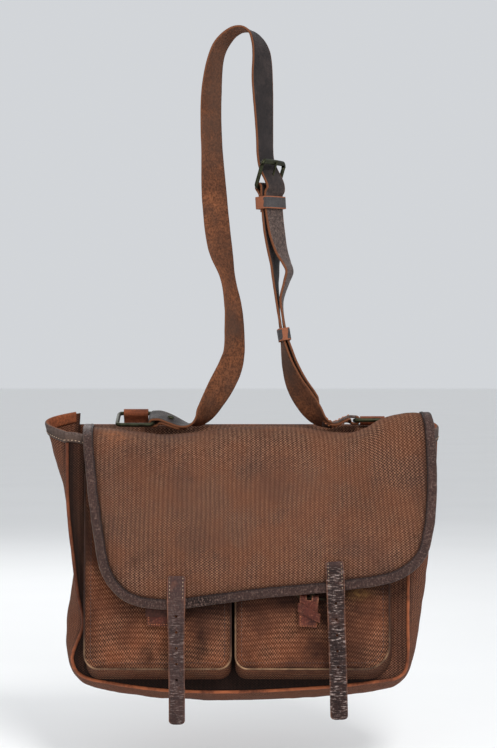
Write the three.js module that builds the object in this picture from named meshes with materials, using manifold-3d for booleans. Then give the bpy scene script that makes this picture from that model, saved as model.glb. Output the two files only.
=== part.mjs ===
// An old canvas satchel with two pockets, hanging by its leather shoulder strap.
// Millimetres, +Z up, the front faces -Y and +X is to the right of someone who faces it.
// The origin is the hang point, on the underside of the strap's bight.
import * as THREE from 'three';
import { mergeVertices } from 'three/addons/utils/BufferGeometryUtils.js';
import Module from 'manifold-3d';

const wasm = await Module();
wasm.setup();

// Driving dimensions
const gap = 0.3;                 // clearance between pieces that meet
const hangDrop = 2.8;            // height of the strap's underside at the hang point, in the tables' frame
const canvas = { wall: 1.8, back: 18, front: -57.4, backMargin: 1.2, frontMargin: 2, seamRoom: 1.05 };
const backTop = -400.5;            // top edge of the back panel, below the gusset's ends
const gussetBindingDepth = 0.3;  // rows of the body table that the leather at the mouth covers
const mouthSag = 20;             // fall of the front panel's top edge between its corners
const piping = { front: 2.2, pocket: 1.6, sides: 6, frontSteps: 44, pocketSteps: 32 };
const binding = { width: 9.5, leather: 1.0, overhang: 1.7, room: 0.7 };
const flapSize = { wall: 1.6, seamLeft: -162, seamRight: 166, foldDown: 58, frontDown: 70 };
const flapCells = { side: 15, bottom: 16, fine: 400, foldWeight: 26, foldFrom: 40, foldTo: 82 };
const sideFall = { depth: 3, middle: 15, from: 110, to: 175, downFrom: 80, downTo: 160 };
const strapSize = { width: 28, leather: 2.6, foldGap: 3, wireGap: 3.8, taper: 7 };
const foldedLengths = { buckle: 30, rightRing: 32, leftRing: 36, buckleRun: 9, rightRun: 13, leftRun: 14 };
const closure = { width: 18, leather: 2.2, tip: 0.72, steps: 14 };
const closureHoles = { radius: 1.5, pitch: 15.5, number: 5 };
const ring = { innerX: 32, innerY: 33, wire: 4, corner: 2.5 };
const ringPlace = { left: [-109, -10, -394.5], right: [132, -10, -395.8] };
const ringTilt = { left: 17, right: -2 };
const ringTab = { width: 25, leather: 2.2, shift: 0.75 };
const ringTabRun = { left: { tail: 12.3, slope: 68 }, right: { tail: 6, slope: 26 } };
const pocketBuckle = { innerX: 26, innerZ: 17, wire: 3, tongue: 3, corner: 2 };
const buckleTab = { width: 24, leather: 1.9, tail: 28, slot: 6.6, slotDepth: 1.4 };
const tabKeeper = { leather: 1.2, height: 9 };
const strapBuckle = { inner: 31, length: 23, wire: 4, corner: 1.5, rise: 10 };
const prong = { radius: 1.2, clearance: 0.6, room: 0.4, steps: 20 };
const prongSlotSize = { length: 18, width: 4.6, depth: 14 };
const keeper = { leather: 1.7, height: 12.5, room: 1.2 };
const rivet = { head: 4, dome: 1.9, burr: 1.2, shank: 1.6, hole: 2.1, fromRing: 15, room: 0.8 };

// Colours, roughness and metalness
const finish = {
  flapCanvas: [0x76523f, 0.92, 0],
  bodyCanvas: [0x6f4630, 0.92, 0],
  pocketCanvas: [0x78462d, 0.92, 0],
  darkLeather: [0x4b3734, 0.5, 0],
  tanLeather: [0xa55a37, 0.6, 0],
  paleLeather: [0xbe9678, 0.7, 0],
  strapLeather: [0x5f3c28, 0.75, 0],
  redLeather: [0x7a3d2c, 0.6, 0],
  brass: [0x5d5a3c, 0.4, 1],
};

// Names the columns of a short table.
function table(columns, rows) {
  return rows.map((row) => Object.fromEntries(columns.map((name, k) => [name, row[k]])));
}

// The body round its U: down the left side, along the bottom and up the right side.
// Each row gives the front seam, the back seam and how far the gusset bulges between them.
const bodyRows = table(['frontX', 'frontZ', 'backX', 'backZ', 'bulge'], [
  [-174, -408, -168, -389, 27],
  [-174, -440, -170, -420, 17.5],
  [-173, -482, -172, -470, 4.5],
  [-168, -530, -172.5, -530, -1],
  [-163.5, -566, -174, -568, 4],
  [-158.5, -597, -175, -604, 11],
  [-169, -629, -172, -640, 6],
  [-160, -647, -160, -664, 4],
  [-130, -655, -132, -674, 4],
  [-75, -662, -75, -681, 3],
  [-5, -663.5, -5, -684, 3],
  [80, -659, 83, -680, 3],
  [128, -654, 132, -674, 4],
  [154, -649, 159, -664, 4],
  [163, -634, 169, -640, 5],
  [163.5, -592, 171, -595, 12],
  [164, -545, 172, -545, 17],
  [166, -490, 172, -485, 21],
  [168, -448, 172, -435, 24],
  [168, -412, 172, -394, 26],
]);

// The flap's section from the back seam over the mouth and down the front.
const flapProfile = table(['y', 'z'], [
  [14.6, -402.2],
  [4, -403],
  [-16, -402],
  [-38, -402],
  [-54, -404.5],
  [-66, -413.5],
  [-73, -436],
  [-80.5, -472],
  [-86, -515],
  [-89.5, -550],
  [-91, -600],
]);

// Height of the flap's top across the bag: it dips under the two strap ends.
const flapTop = table(['x', 'z'], [
  [-165, -402],
  [-130, -405],
  [-106, -408],
  [-78, -410.5],
  [-45, -408],
  [-10, -403.5],
  [25, -403],
  [60, -404],
  [95, -408.5],
  [125, -408.5],
  [150, -406.5],
  [190, -402],
]);

// Extra rise of the flap's front fold towards its lifted right corner.
const flapLift = table(['x', 'z'], [
  [-170, 0],
  [95, 0],
  [122, 5.5],
  [140, 14.5],
  [165, 17],
  [190, 14],
]);

// The flap's free edge, down the left side, along the bottom and up the right side.
const flapEdge = table(['x', 'z'], [
  [-154, -431],
  [-149, -473],
  [-143.5, -510],
  [-138, -537],
  [-127, -557],
  [-110, -570],
  [-74, -576],
  [-32, -571.5],
  [24, -564.5],
  [84, -559],
  [144, -550],
  [163, -541],
  [177, -527],
  [184, -505],
  [188, -473],
  [188.5, -440],
]);
const flapCorners = { left: 4, right: 12, foldLeft: -158, foldRight: 184 };

// The two pockets: the front seam's sides, mouth, bottom and corner radii, and how far the seam on the
// front panel spreads past it.
const pockets = {
  left: { left: -155, right: -11.8, radiusLeft: 14, radiusRight: 12, spreadLeft: -1, spreadRight: 0 },
  right: { left: -7, right: 143.5, radiusLeft: 12, radiusRight: 24, spreadLeft: 0, spreadRight: 3 },
};
const pocketSize = { mouth: -447, bottom: -637, mouthY: -65, bottomY: -79, crown: 3.5, drop: 13 };
const pocketSeam = { faceInset: 2.4, wallRoom: 0.9 };

// The shoulder strap from the left ring, up the left limb, over the hang point and down to the buckle.
// Turn is the leather's angle about its line: 0 lies flat to the front, 90 is edge-on.
const longRows = table(['x', 'y', 'z', 'turn'], [
  [-74, -11.5, -394.5, 107],
  [-63, -11.5, -399, 102],
  [-54, -11, -400, 90],
  [-45, -10, -395.5, 68],
  [-38, -9, -387, 48],
  [-30, -7, -374, 35],
  [-21.5, -5, -359, 24],
  [-13.6, -3, -342.6, 28],
  [-9.4, -1, -327, 42],
  [-9, 0, -303.7, 47],
  [-10.3, 0, -280, 54],
  [-16, 0, -249.5, 60],
  [-23.8, 0, -217.8, 29],
  [-29, 0, -172, 25],
  [-31.6, 0, -126, 40],
  [-33, 0, -86, 44],
  [-32.2, 0, -58, 46],
  [-29.2, 0, -31.7, 57],
  [-24.6, 0, -16, 63],
  [-17.4, 0, -5.5, 70],
  [-9.2, 0, 1.5, 79],
  [0, 0, 4.1, 90],
  [9.2, 0, 0.5, 104],
  [15.3, 0, -8, 118],
  [19, 0, -20, 130],
  [19.9, 0, -48, 139],
  [21, 0, -73, 134],
  [22.3, 0, -105, 127],
  [23, 0, -126, 126],
  [25, -1, -136, 128],
]);

// The short strap from the buckle's bar down to the right ring, and how far the long strap's tail
// stands off it.
const shortRows = table(['x', 'y', 'z', 'turn', 'tail'], [
  [27.1, 0, -158, 130, 8.5],
  [27.4, 0, -166, 130, 5.2],
  [27.8, 0, -174, 130, 4.4],
  [29.6, 0, -202, 126, 5.8],
  [31.7, 0, -222, 118, 8],
  [32.7, 0, -236, 108, 12.5],
  [33.2, 0, -244.5, 105, 15],
  [33.7, 0, -256, 100, 11],
  [35.3, 0, -273, 96, 4.4],
  [36.8, 0, -288, 92, 3.8],
  [39.9, 0, -309, 88, 4],
  [42.6, -1, -324, 80, 4.7],
  [47, -2, -342.6, 66, 4.7],
  [53.2, -4, -359, 52, 4.7],
  [62.4, -6, -374.3, 43, 4.7],
  [73.6, -8, -389, 50, 4],
  [85, -11, -397.5, 74, 0],
  [93, -12, -398, 88, 0],
  [100, -11.5, -395, 89, 0],
]);
const tailRowCount = 16;
const keeperRows = { upper: 2, lower: 10 };
const stepsPerRow = 2;
const ringLead = 7;

// The closure straps: where each is sewn to the flap, how it hangs, and its tip.
const closureRows = {
  left: table(['x', 'z', 'off'], [
    [-64.5, -545, 2.3],
    [-64.5, -556, 2.6],
    [-64.6, -566, 4.4],
    [-64.6, -578, 4.6],
    [-64.4, -600, 4.2],
    [-64.2, -630, 3],
    [-64, -660, 1.6],
    [-64, -689, 0.6],
  ]),
  right: table(['x', 'z', 'off'], [
    [89.2, -531, 2.3],
    [89.6, -541, 2.6],
    [89.9, -550, 4.4],
    [90.2, -562, 4.6],
    [90.8, -585, 4.6],
    [92, -620, 3.4],
    [93, -655, 2.4],
    [93.6, -684, 3],
  ]),
};
const closureHoleStart = { left: -583.5, right: -571 };

// The buckles under the flap: each tab's bar, with the tab's lean about its front.
const buckleBars = {
  left: { x: -81.4, z: -566.5, lean: 0 },
  right: { x: 68, z: -567.5, lean: 4 },
};

const vec = (x, y, z) => new THREE.Vector3(x, y, z);
const { lerp, smoothstep, degToRad } = THREE.MathUtils;
const cross = (a, b) => vec(0, 0, 0).crossVectors(a, b);
const count = (n, make) => Array.from({ length: n }, (_, k) => make(k));

// A smooth value read from a table's column, against a key column or the row number.
function reader(rows, column, key) {
  const keys = rows.map((row, k) => (key ? row[key] : k));
  const last = rows.length - 1;
  const slope = (k) => {
    const [a, b] = [Math.max(k - 1, 0), Math.min(k + 1, last)];
    return (rows[b][column] - rows[a][column]) / (keys[b] - keys[a]);
  };
  return (at) => {
    let k = 0;
    while (k < last - 1 && at > keys[k + 1]) k += 1;
    const span = keys[k + 1] - keys[k];
    const f = Math.min(Math.max((at - keys[k]) / span, 0), 1);
    const [a, b] = [rows[k][column], rows[k + 1][column]];
    const f2 = f * f;
    const f3 = f2 * f;
    return a * (2 * f3 - 3 * f2 + 1) + b * (3 * f2 - 2 * f3)
      + span * (slope(k) * (f3 - 2 * f2 + f) + slope(k + 1) * (f3 - f2));
  };
}

// A closed geometry from points and triangles, with its faces pointing out.
function solidOf(points, faces) {
  let volume = 0;
  for (const [a, b, c] of faces) volume += points[a].dot(cross(points[b], points[c]));
  const geometry = new THREE.BufferGeometry();
  const positions = points.flatMap((p) => p.toArray());
  geometry.setAttribute('position', new THREE.Float32BufferAttribute(positions, 3));
  geometry.setIndex(faces.flatMap(([a, b, c]) => (volume < 0 ? [a, c, b] : [a, b, c])));
  return geometry;
}

// Closes a patch of triangles into a wall: two offset copies joined along the patch's rim.
function patchWall(patch, wall) {
  const total = patch.points.length;
  const half = wall / 2;
  const points = [half, -half].flatMap((reach) => patch.points.map(
    (p, k) => p.clone().addScaledVector(patch.normals[k], reach)));
  const faces = [];
  const rim = new Map();
  for (const [a, b, c] of patch.faces) {
    faces.push([a, b, c], [a + total, c + total, b + total]);
    for (const [p, q] of [[a, b], [b, c], [c, a]]) {
      if (!rim.delete(`${q} ${p}`)) rim.set(`${p} ${q}`, [p, q]);
    }
  }
  for (const [p, q] of rim.values()) faces.push([q, p, p + total], [q, p + total, q + total]);
  return solidOf(points, faces);
}

// The point and unit normal of a surface of two parameters.
function surfaceFrame(surface, u, v, step) {
  const along = surface(u + step, v).sub(surface(u - step, v));
  const across = surface(u, v + step).sub(surface(u, v - step));
  return { point: surface(u, v), normal: along.cross(across).normalize() };
}

// A patch from nodes in a surface's two parameters and the cells between them.
function surfacePatch(nodes, cells, surface, step) {
  const frames = nodes.map(([u, v]) => surfaceFrame(surface, u, v, step));
  return {
    points: frames.map((f) => f.point),
    normals: frames.map((f) => f.normal),
    faces: cells.flatMap(([a, b, c, d]) => [[a, b, d], [b, c, d]]),
  };
}

// A patch over a regular net of parameters.
function netPatch(us, vs, surface, step) {
  const nodes = us.flatMap((u) => vs.map((v) => [u, v]));
  const at = (i, j) => i * vs.length + j;
  const cells = count(us.length - 1, (i) => count(vs.length - 1, (j) => (
    [at(i, j), at(i, j + 1), at(i + 1, j + 1), at(i + 1, j)]))).flat();
  return surfacePatch(nodes, cells, surface, step);
}

// Fills a U-shaped row of nodes, open at the top: side cells down, bottom cells across, side cells up.
function fillU(outline, sideCells, bottomCells) {
  const left = outline.slice(0, sideCells + 1);
  const bottom = outline.slice(sideCells, sideCells + bottomCells + 1);
  const right = outline.slice(sideCells + bottomCells).reverse();
  const mixed = (p, q, f) => [lerp(p[0], q[0], f), lerp(p[1], q[1], f)];
  const top = count(bottomCells + 1, (i) => mixed(left[0], right[0], i / bottomCells));
  const node = (i, j) => {
    const [f, g] = [i / bottomCells, j / sideCells];
    const sides = mixed(left[j], right[j], f);
    const ends = mixed(top[i], bottom[i], g);
    const corners = mixed(mixed(left[0], right[0], f), mixed(left[sideCells], right[sideCells], f), g);
    return [sides[0] + ends[0] - corners[0], sides[1] + ends[1] - corners[1]];
  };
  const nodes = count(sideCells + 1, (j) => count(bottomCells + 1, (i) => node(i, j))).flat();
  const at = (i, j) => j * (bottomCells + 1) + i;
  const cells = count(sideCells, (j) => count(bottomCells, (i) => (i < bottomCells / 2
    ? [at(i, j), at(i + 1, j), at(i + 1, j + 1), at(i, j + 1)]
    : [at(i + 1, j), at(i + 1, j + 1), at(i, j + 1), at(i, j)]))).flat();
  return { nodes, cells };
}

// Joins like sections in a row into one solid; the caps are given as quads of section points.
function loft(sections, caps) {
  const size = sections[0].length;
  const points = sections.flat();
  const faces = [];
  const add = (a, b, c) => {
    const sharp = [[a, b], [b, c], [c, a]].some(([p, q]) => points[p].distanceTo(points[q]) < 1e-5);
    if (!sharp) faces.push([a, b, c]);
  };
  for (let k = 0; k < sections.length - 1; k += 1) {
    for (let e = 0; e < size; e += 1) {
      const [a, b] = [k * size + e, k * size + ((e + 1) % size)];
      add(a, b, b + size);
      add(a, b + size, a + size);
    }
  }
  const end = (sections.length - 1) * size;
  for (const [a, b, c, d] of caps) {
    faces.push([a, c, b], [a, d, c]);
    faces.push([end + a, end + b, end + c], [end + a, end + c, end + d]);
  }
  return solidOf(points, faces);
}

// Leather folded over an edge: each station has the edge, a line inside it and the sheet's normals.
function foldedBinding(stations, wall) {
  const inside = wall / 2 + binding.room;
  const outside = inside + binding.leather;
  const sections = stations.map(({ edge, edgeNormal, inner, innerNormal, outward }) => {
    const rim = (reach, lift) => edge.clone()
      .addScaledVector(outward, reach).addScaledVector(edgeNormal, lift);
    const lip = (lift) => inner.clone().addScaledVector(innerNormal, lift);
    return [
      rim(binding.overhang, -outside), lip(-outside), lip(-inside), rim(binding.room, -inside),
      rim(binding.room, inside), lip(inside), lip(outside), rim(binding.overhang, outside),
    ];
  });
  return loft(sections, [[0, 1, 2, 3], [0, 3, 4, 7], [4, 5, 6, 7]]);
}

// A round cord of leather along a curve.
function pipingAlong(points, radius, steps) {
  const section = new THREE.Shape(count(piping.sides, (k) => {
    const angle = (k / piping.sides) * Math.PI * 2;
    return new THREE.Vector2(Math.cos(angle) * radius, Math.sin(angle) * radius);
  }));
  return new THREE.ExtrudeGeometry(section, { steps, extrudePath: new THREE.CatmullRomCurve3(points) });
}

// A rounded rectangle, as a shape or as the hole of one.
function roundedRectangle(width, height, radius, kind = THREE.Shape) {
  const [x, y] = [width / 2, height / 2];
  const path = new kind();
  path.moveTo(-x + radius, -y);
  path.lineTo(x - radius, -y);
  path.absarc(x - radius, -y + radius, radius, -Math.PI / 2, 0, false);
  path.lineTo(x, y - radius);
  path.absarc(x - radius, y - radius, radius, 0, Math.PI / 2, false);
  path.lineTo(-x + radius, y);
  path.absarc(-x + radius, y - radius, radius, Math.PI / 2, Math.PI, false);
  path.lineTo(-x, -y + radius);
  path.absarc(-x + radius, -y + radius, radius, Math.PI, Math.PI * 1.5, false);
  return path;
}

// A wire loop: a rounded rectangle with its edges bevelled, flat in X and Y.
function wireLoop(innerX, innerY, wire, corner, tongue = 0) {
  const curveSegments = 2;
  const bevel = wire * 0.29;
  const grow = wire - bevel;
  const shape = roundedRectangle(innerX + 2 * grow, innerY + 2 * grow, corner + grow);
  if (tongue) {
    const width = (innerX - tongue) / 2 + bevel;
    for (const side of [-1, 1]) {
      const hole = roundedRectangle(width, innerY + 2 * bevel, corner, THREE.Path);
      const shift = side * (innerX - width + 2 * bevel) / 2;
      shape.holes.push(new THREE.Path(hole.getPoints(1).map((p) => p.add(new THREE.Vector2(shift, 0)))));
    }
  } else {
    shape.holes.push(roundedRectangle(innerX + 2 * bevel, innerY + 2 * bevel, corner + bevel, THREE.Path));
  }
  const depth = wire - 2 * bevel;
  const options = { depth, bevelSize: bevel, bevelThickness: bevel, bevelSegments: 1, curveSegments };
  return new THREE.ExtrudeGeometry(shape, options).translate(0, 0, -depth / 2);
}

// A band of leather round a stack of layers, flat in X and Y and standing along Z.
function bandLoop(innerX, innerY, leather, height) {
  const shape = roundedRectangle(innerX + 2 * leather, innerY + 2 * leather, leather + 0.5);
  shape.holes.push(roundedRectangle(innerX, innerY, 0.5, THREE.Path));
  const options = { depth: height, bevelEnabled: false, curveSegments: 1 };
  return new THREE.ExtrudeGeometry(shape, options).translate(0, 0, -height / 2);
}

// A leather tab folded round a bar that lies along X, with its doubled tail running down -Z.
function foldedTab(width, leather, wire, tail) {
  const inner = wire / 2 + gap;
  const outer = inner + leather;
  const shape = new THREE.Shape();
  shape.moveTo(-leather, -tail);
  shape.lineTo(leather, -tail);
  shape.lineTo(leather, -outer - 2);
  shape.lineTo(outer, -1);
  shape.absarc(0, 0, outer, 0, Math.PI, false);
  shape.lineTo(-outer, -1);
  shape.lineTo(-leather, -outer - 2);
  const eye = new THREE.Path();
  eye.moveTo(0, -inner - 2);
  eye.lineTo(inner, -0.5);
  eye.absarc(0, 0, inner, 0, Math.PI, false);
  eye.lineTo(-inner, -0.5);
  shape.holes.push(eye);
  const options = { depth: width, bevelEnabled: false, curveSegments: 6 };
  const turn = new THREE.Matrix4().makeBasis(vec(0, 1, 0), vec(0, 0, 1), vec(1, 0, 0));
  return new THREE.ExtrudeGeometry(shape, options).translate(0, 0, -width / 2).applyMatrix4(turn);
}

// Manifold solids for cuts, and back to a geometry.
function toManifold(geometry) {
  const bare = geometry.clone();
  bare.deleteAttribute('normal');
  bare.deleteAttribute('uv');
  const merged = mergeVertices(bare, 1e-4);
  return new wasm.Manifold(new wasm.Mesh({
    numProp: 3,
    vertProperties: new Float32Array(merged.attributes.position.array),
    triVerts: new Uint32Array(merged.index.array),
  }));
}

function cut(geometry, tools) {
  const solid = tools.reduce((left, tool) => left.subtract(toManifold(tool)), toManifold(geometry));
  const mesh = solid.getMesh();
  const result = new THREE.BufferGeometry();
  result.setAttribute('position', new THREE.Float32BufferAttribute(mesh.vertProperties, 3));
  result.setIndex(Array.from(mesh.triVerts));
  return result;
}

// Stations along a strap: its line, its width direction and the direction its grain side faces.
function strapStations(rows, perRow) {
  const line = new THREE.CatmullRomCurve3(rows.map((row) => vec(row.x, row.y, row.z)));
  const turn = reader(rows, 'turn');
  const steps = (rows.length - 1) * perRow;
  return count(steps + 1, (k) => {
    const at = k / steps;
    const tangent = line.getTangent(at);
    const depth = vec(0, 1, 0).addScaledVector(tangent, -tangent.y).normalize();
    const side = cross(depth, tangent);
    const angle = degToRad(turn(at * (rows.length - 1)));
    const width = side.multiplyScalar(Math.cos(angle)).addScaledVector(depth, Math.sin(angle));
    const normal = cross(tangent, width);
    return { point: line.getPoint(at), tangent, width, normal, size: strapSize.width };
  });
}

// The end of a strap folded under, round the wire that it hangs on, with its last length tapered.
// Direction is -1 at the strap's first station and 1 at its last.
function foldedEnd(stations, direction, foldLength, foldRun) {
  const run = direction < 0 ? stations : [...stations].reverse();
  const { point, tangent, width, normal } = run[0];
  const bar = point.clone().addScaledVector(normal, -strapSize.wireGap);
  const away = tangent.clone().multiplyScalar(direction);
  const bends = count(7, (k) => {
    const angle = (k / 6 - 0.5) * Math.PI;
    const out = away.clone().multiplyScalar(Math.cos(angle)).addScaledVector(normal, Math.sin(angle));
    const place = bar.clone().addScaledVector(out, strapSize.wireGap);
    return { point: place, width, normal: out, size: strapSize.width };
  }).slice(0, 6);
  const under = [];
  for (const station of run.slice(1)) {
    const distance = station.point.distanceTo(point);
    if (distance > foldLength) break;
    const stand = lerp(2 * strapSize.wireGap, strapSize.foldGap, smoothstep(distance, 0, foldRun));
    under.unshift({
      point: station.point.clone().addScaledVector(station.normal, -stand),
      width: station.width,
      normal: station.normal.clone().negate(),
      size: strapSize.width * (distance > foldLength - strapSize.taper ? 0.5 : 1),
    });
  }
  const fold = [...under, ...bends];
  return { bar, width, tangent, normal, stations: direction < 0 ? fold : fold.reverse() };
}

function ribbon(stations, leather) {
  const half = leather / 2;
  const sections = stations.map(({ point, width, normal, size }) => (
    [[-1, -1], [1, -1], [1, 1], [-1, 1]].map(([w, n]) => point.clone()
      .addScaledVector(width, w * size / 2).addScaledVector(normal, n * half))));
  return loft(sections, [[0, 1, 2, 3]]);
}

const satchel = new THREE.Group();
satchel.position.z = -hangDrop;

function place(parent, name, geometry, look) {
  const [color, roughness, metalness] = finish[look];
  const mesh = new THREE.Mesh(geometry, new THREE.MeshStandardMaterial({ color, roughness, metalness }));
  mesh.name = name;
  parent.add(mesh);
  return mesh;
}

// Places a geometry so that its own X, Y and Z follow the three directions given.
function orient(mesh, x, y, z, position) {
  mesh.quaternion.setFromRotationMatrix(new THREE.Matrix4().makeBasis(x, y, z));
  mesh.position.copy(position);
}

// Body: back, front, gusset, its bound mouth edges and the front piping
const body = new THREE.Group();
satchel.add(body);

const bodyLast = bodyRows.length - 1;
const bodyColumn = Object.fromEntries(
  Object.keys(bodyRows[0]).map((name) => [name, reader(bodyRows, name)]));
const seams = {
  back: canvas.back - canvas.wall - canvas.seamRoom,
  front: canvas.front + canvas.wall / 2 + piping.front + canvas.seamRoom,
};

// A point of the gusset: t in rows of the body table, v from the back seam to the front seam.
function gussetPoint(t, v) {
  const middle = (at) => [
    (bodyColumn.frontX(at) + bodyColumn.backX(at)) / 2, (bodyColumn.frontZ(at) + bodyColumn.backZ(at)) / 2];
  const inside = Math.min(Math.max(t, 0.05), bodyLast - 0.05);
  const [before, after] = [middle(inside - 0.05), middle(inside + 0.05)];
  const outward = vec(after[1] - before[1], 0, before[0] - after[0]).normalize();
  const swell = bodyColumn.bulge(t) * Math.sin(Math.PI * v);
  return vec(
    lerp(bodyColumn.backX(t), bodyColumn.frontX(t), v),
    lerp(seams.back, seams.front, v),
    lerp(bodyColumn.backZ(t), bodyColumn.frontZ(t), v),
  ).addScaledVector(outward, swell);
}

const gussetRows = [0, ...count(2 * bodyLast - 1, (k) => (k + 1) / 2), bodyLast];
gussetRows.splice(1, 0, gussetBindingDepth);
gussetRows.splice(-1, 0, bodyLast - gussetBindingDepth);
const gussetAcross = [0, 0.06, 0.28, 0.5, 0.72, 0.94, 1];
const gussetPatch = netPatch(gussetRows, gussetAcross, gussetPoint, 0.004);
place(body, 'gusset', patchWall(gussetPatch, canvas.wall), 'bodyCanvas');

const gussetLast = gussetRows.length - 1;
for (const [side, edgeRow, innerRow] of [['left', 0, 1], ['right', gussetLast, gussetLast - 1]]) {
  const node = (row, k) => row * gussetAcross.length + k;
  const stations = gussetAcross.slice(1, -1).map((v, column) => {
    const k = column + 1;
    const edge = gussetPatch.points[node(edgeRow, k)];
    const inner = gussetPatch.points[node(innerRow, k)];
    return {
      edge,
      edgeNormal: gussetPatch.normals[node(edgeRow, k)],
      inner,
      innerNormal: gussetPatch.normals[node(innerRow, k)],
      outward: edge.clone().sub(inner).normalize(),
    };
  });
  place(body, `gusset_binding_${side}`, foldedBinding(stations, canvas.wall), 'darkLeather');
}

// An outline of the body in X and Z, from the named columns, moved out by a margin.
function bodyOutline(xColumn, zColumn, margin, perRow) {
  const rows = count(bodyLast * perRow + 1, (k) => k / perRow);
  const at = (t) => new THREE.Vector2(bodyColumn[xColumn](t), bodyColumn[zColumn](t));
  return rows.map((t) => {
    const along = at(Math.min(t + 0.02, bodyLast)).sub(at(Math.max(t - 0.02, 0))).normalize();
    return at(t).add(new THREE.Vector2(along.y, -along.x).multiplyScalar(margin));
  });
}

// A flat panel standing in X and Z, with its outer face at a given Y.
function panel(outline, fromY) {
  const shape = new THREE.Shape(outline);
  const flat = new THREE.ExtrudeGeometry(shape, { depth: canvas.wall, bevelEnabled: false });
  return flat.rotateX(Math.PI / 2).translate(0, fromY + canvas.wall, 0);
}

const backU = bodyOutline('backX', 'backZ', canvas.backMargin, 2)
  .map((p) => new THREE.Vector2(p.x, Math.min(p.y, backTop)));
place(body, 'back_panel', panel(backU, canvas.back - canvas.wall), 'bodyCanvas');
const frontU = bodyOutline('frontX', 'frontZ', -piping.front - canvas.frontMargin, 2);
const mouth = [0.94, 0.88, 0.7, 0.5, 0.3, 0.12, 0.06].map((f) => {
  const sag = mouthSag * smoothstep(f, 0, 0.2) * (1 - smoothstep(f, 0.8, 1));
  return frontU[0].clone().lerp(frontU[frontU.length - 1], f).sub(new THREE.Vector2(0, sag));
});
const frontOutline = [...frontU, ...mouth];
place(body, 'front_panel', panel(frontOutline, canvas.front), 'bodyCanvas');
const pipingLine = bodyOutline('frontX', 'frontZ', 0, 2).map(
  (p) => vec(p.x, canvas.front + canvas.wall / 2, p.y));
place(body, 'front_piping', pipingAlong(pipingLine, piping.front, piping.frontSteps), 'tanLeather');

// Pockets
const pocketCells = { side: 6, arc: 2, bottom: 6 };
const pocketSide = pocketCells.side + pocketCells.arc;
const pocketBottom = pocketCells.bottom + 2 * pocketCells.arc;

// A pocket's U outline: straight sides and bottom joined by quarter rounds, moved in by an inset.
function pocketOutline(pocket, inset, drop = 0, spreadLeft = 0, spreadRight = 0) {
  const left = pocket.left + inset - spreadLeft;
  const right = pocket.right - inset + spreadRight;
  const bottom = pocketSize.bottom + inset - drop;
  const [a, b] = [pocket.radiusLeft - inset, pocket.radiusRight - inset];
  const steps = 2 * pocketCells.arc;
  const arc = (x, r, from) => count(steps + 1, (k) => {
    const angle = from + (k / steps) * Math.PI / 2;
    return [x + r * Math.cos(angle), bottom + r + r * Math.sin(angle)];
  });
  const sideRun = (x, r) => count(pocketCells.side, (k) => (
    [x, lerp(pocketSize.mouth, bottom + r, k / pocketCells.side)]));
  const bottomRun = count(pocketCells.bottom - 1, (k) => (
    [lerp(left + a, right - b, (k + 1) / pocketCells.bottom), bottom]));
  return [
    ...sideRun(left, a), ...arc(left + a, a, Math.PI), ...bottomRun,
    ...arc(right - b, b, Math.PI * 1.5), ...sideRun(right, b).reverse(),
  ];
}

// Depth of a pocket's front: it leans out towards the bottom and is crowned between its seams.
const pocketLean = (z) => lerp(pocketSize.mouthY, pocketSize.bottomY,
  (z - pocketSize.mouth) / (pocketSize.bottom - pocketSize.mouth));

function pocketFrontPoint(pocket, x, z) {
  const across = (x - pocket.left) / (pocket.right - pocket.left);
  const down = (z - pocketSize.mouth) / (pocketSize.bottom - pocketSize.mouth);
  const round = Math.sin(Math.PI * Math.min(Math.max(across, 0), 1)) * Math.cos(down * Math.PI / 2) ** 0.5;
  return vec(x, pocketLean(z) - pocketSize.crown * (round || 0), z);
}

for (const [side, pocket] of Object.entries(pockets)) {
  const group = new THREE.Group();
  body.add(group);
  const face = fillU(pocketOutline(pocket, piping.pocket + pocketSeam.faceInset), pocketSide, pocketBottom);
  const facePoint = (x, z) => pocketFrontPoint(pocket, x, z);
  const facePatch = surfacePatch(face.nodes, face.cells, facePoint, 0.2);
  place(group, `pocket_front_${side}`, patchWall(facePatch, canvas.wall), 'pocketCanvas');

  const seam = pocketOutline(pocket, 0);
  const line = seam.map(([x, z]) => vec(x, pocketLean(z), z));
  place(group, `pocket_piping_${side}`, pipingAlong(line, piping.pocket, piping.pocketSteps), 'paleLeather');

  const foot = pocketOutline(pocket, 0, pocketSize.drop, pocket.spreadLeft, pocket.spreadRight);
  const columns = seam.map((_, k) => k);
  const read = (points, axis) => reader(points.map((p) => ({ value: p[axis] })), 'value');
  const [seamX, seamZ, footX, footZ] = [read(seam, 0), read(seam, 1), read(foot, 0), read(foot, 1)];
  const wallPoint = (k, v) => {
    const front = pocketLean(seamZ(k)) + piping.pocket + pocketSeam.wallRoom;
    const back = canvas.front - pocketSeam.wallRoom;
    return vec(lerp(seamX(k), footX(k), v), lerp(front, back, v), lerp(seamZ(k), footZ(k), v));
  };
  const wallPatch = netPatch(columns, [0, 1], wallPoint, 0.01);
  place(group, `pocket_gusset_${side}`, patchWall(wallPatch, canvas.wall), 'pocketCanvas');
}

// Flap, in two parameters: x across and the distance down the cloth from the back seam
const flapCurve = new THREE.CatmullRomCurve3(flapProfile.map((row) => vec(0, row.y, row.z)));
flapCurve.arcLengthDivisions = 600;
const flapLength = flapCurve.getLength();
const flapTopZ = reader(flapTop, 'z', 'x');
const flapLiftZ = reader(flapLift, 'z', 'x');
const flatTop = flapProfile[2].z;
const topRun = { dipStart: 0, dipFull: 11, liftStart: 46, liftFull: 62, fadeStart: 66, fadeEnd: 150 };

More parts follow.
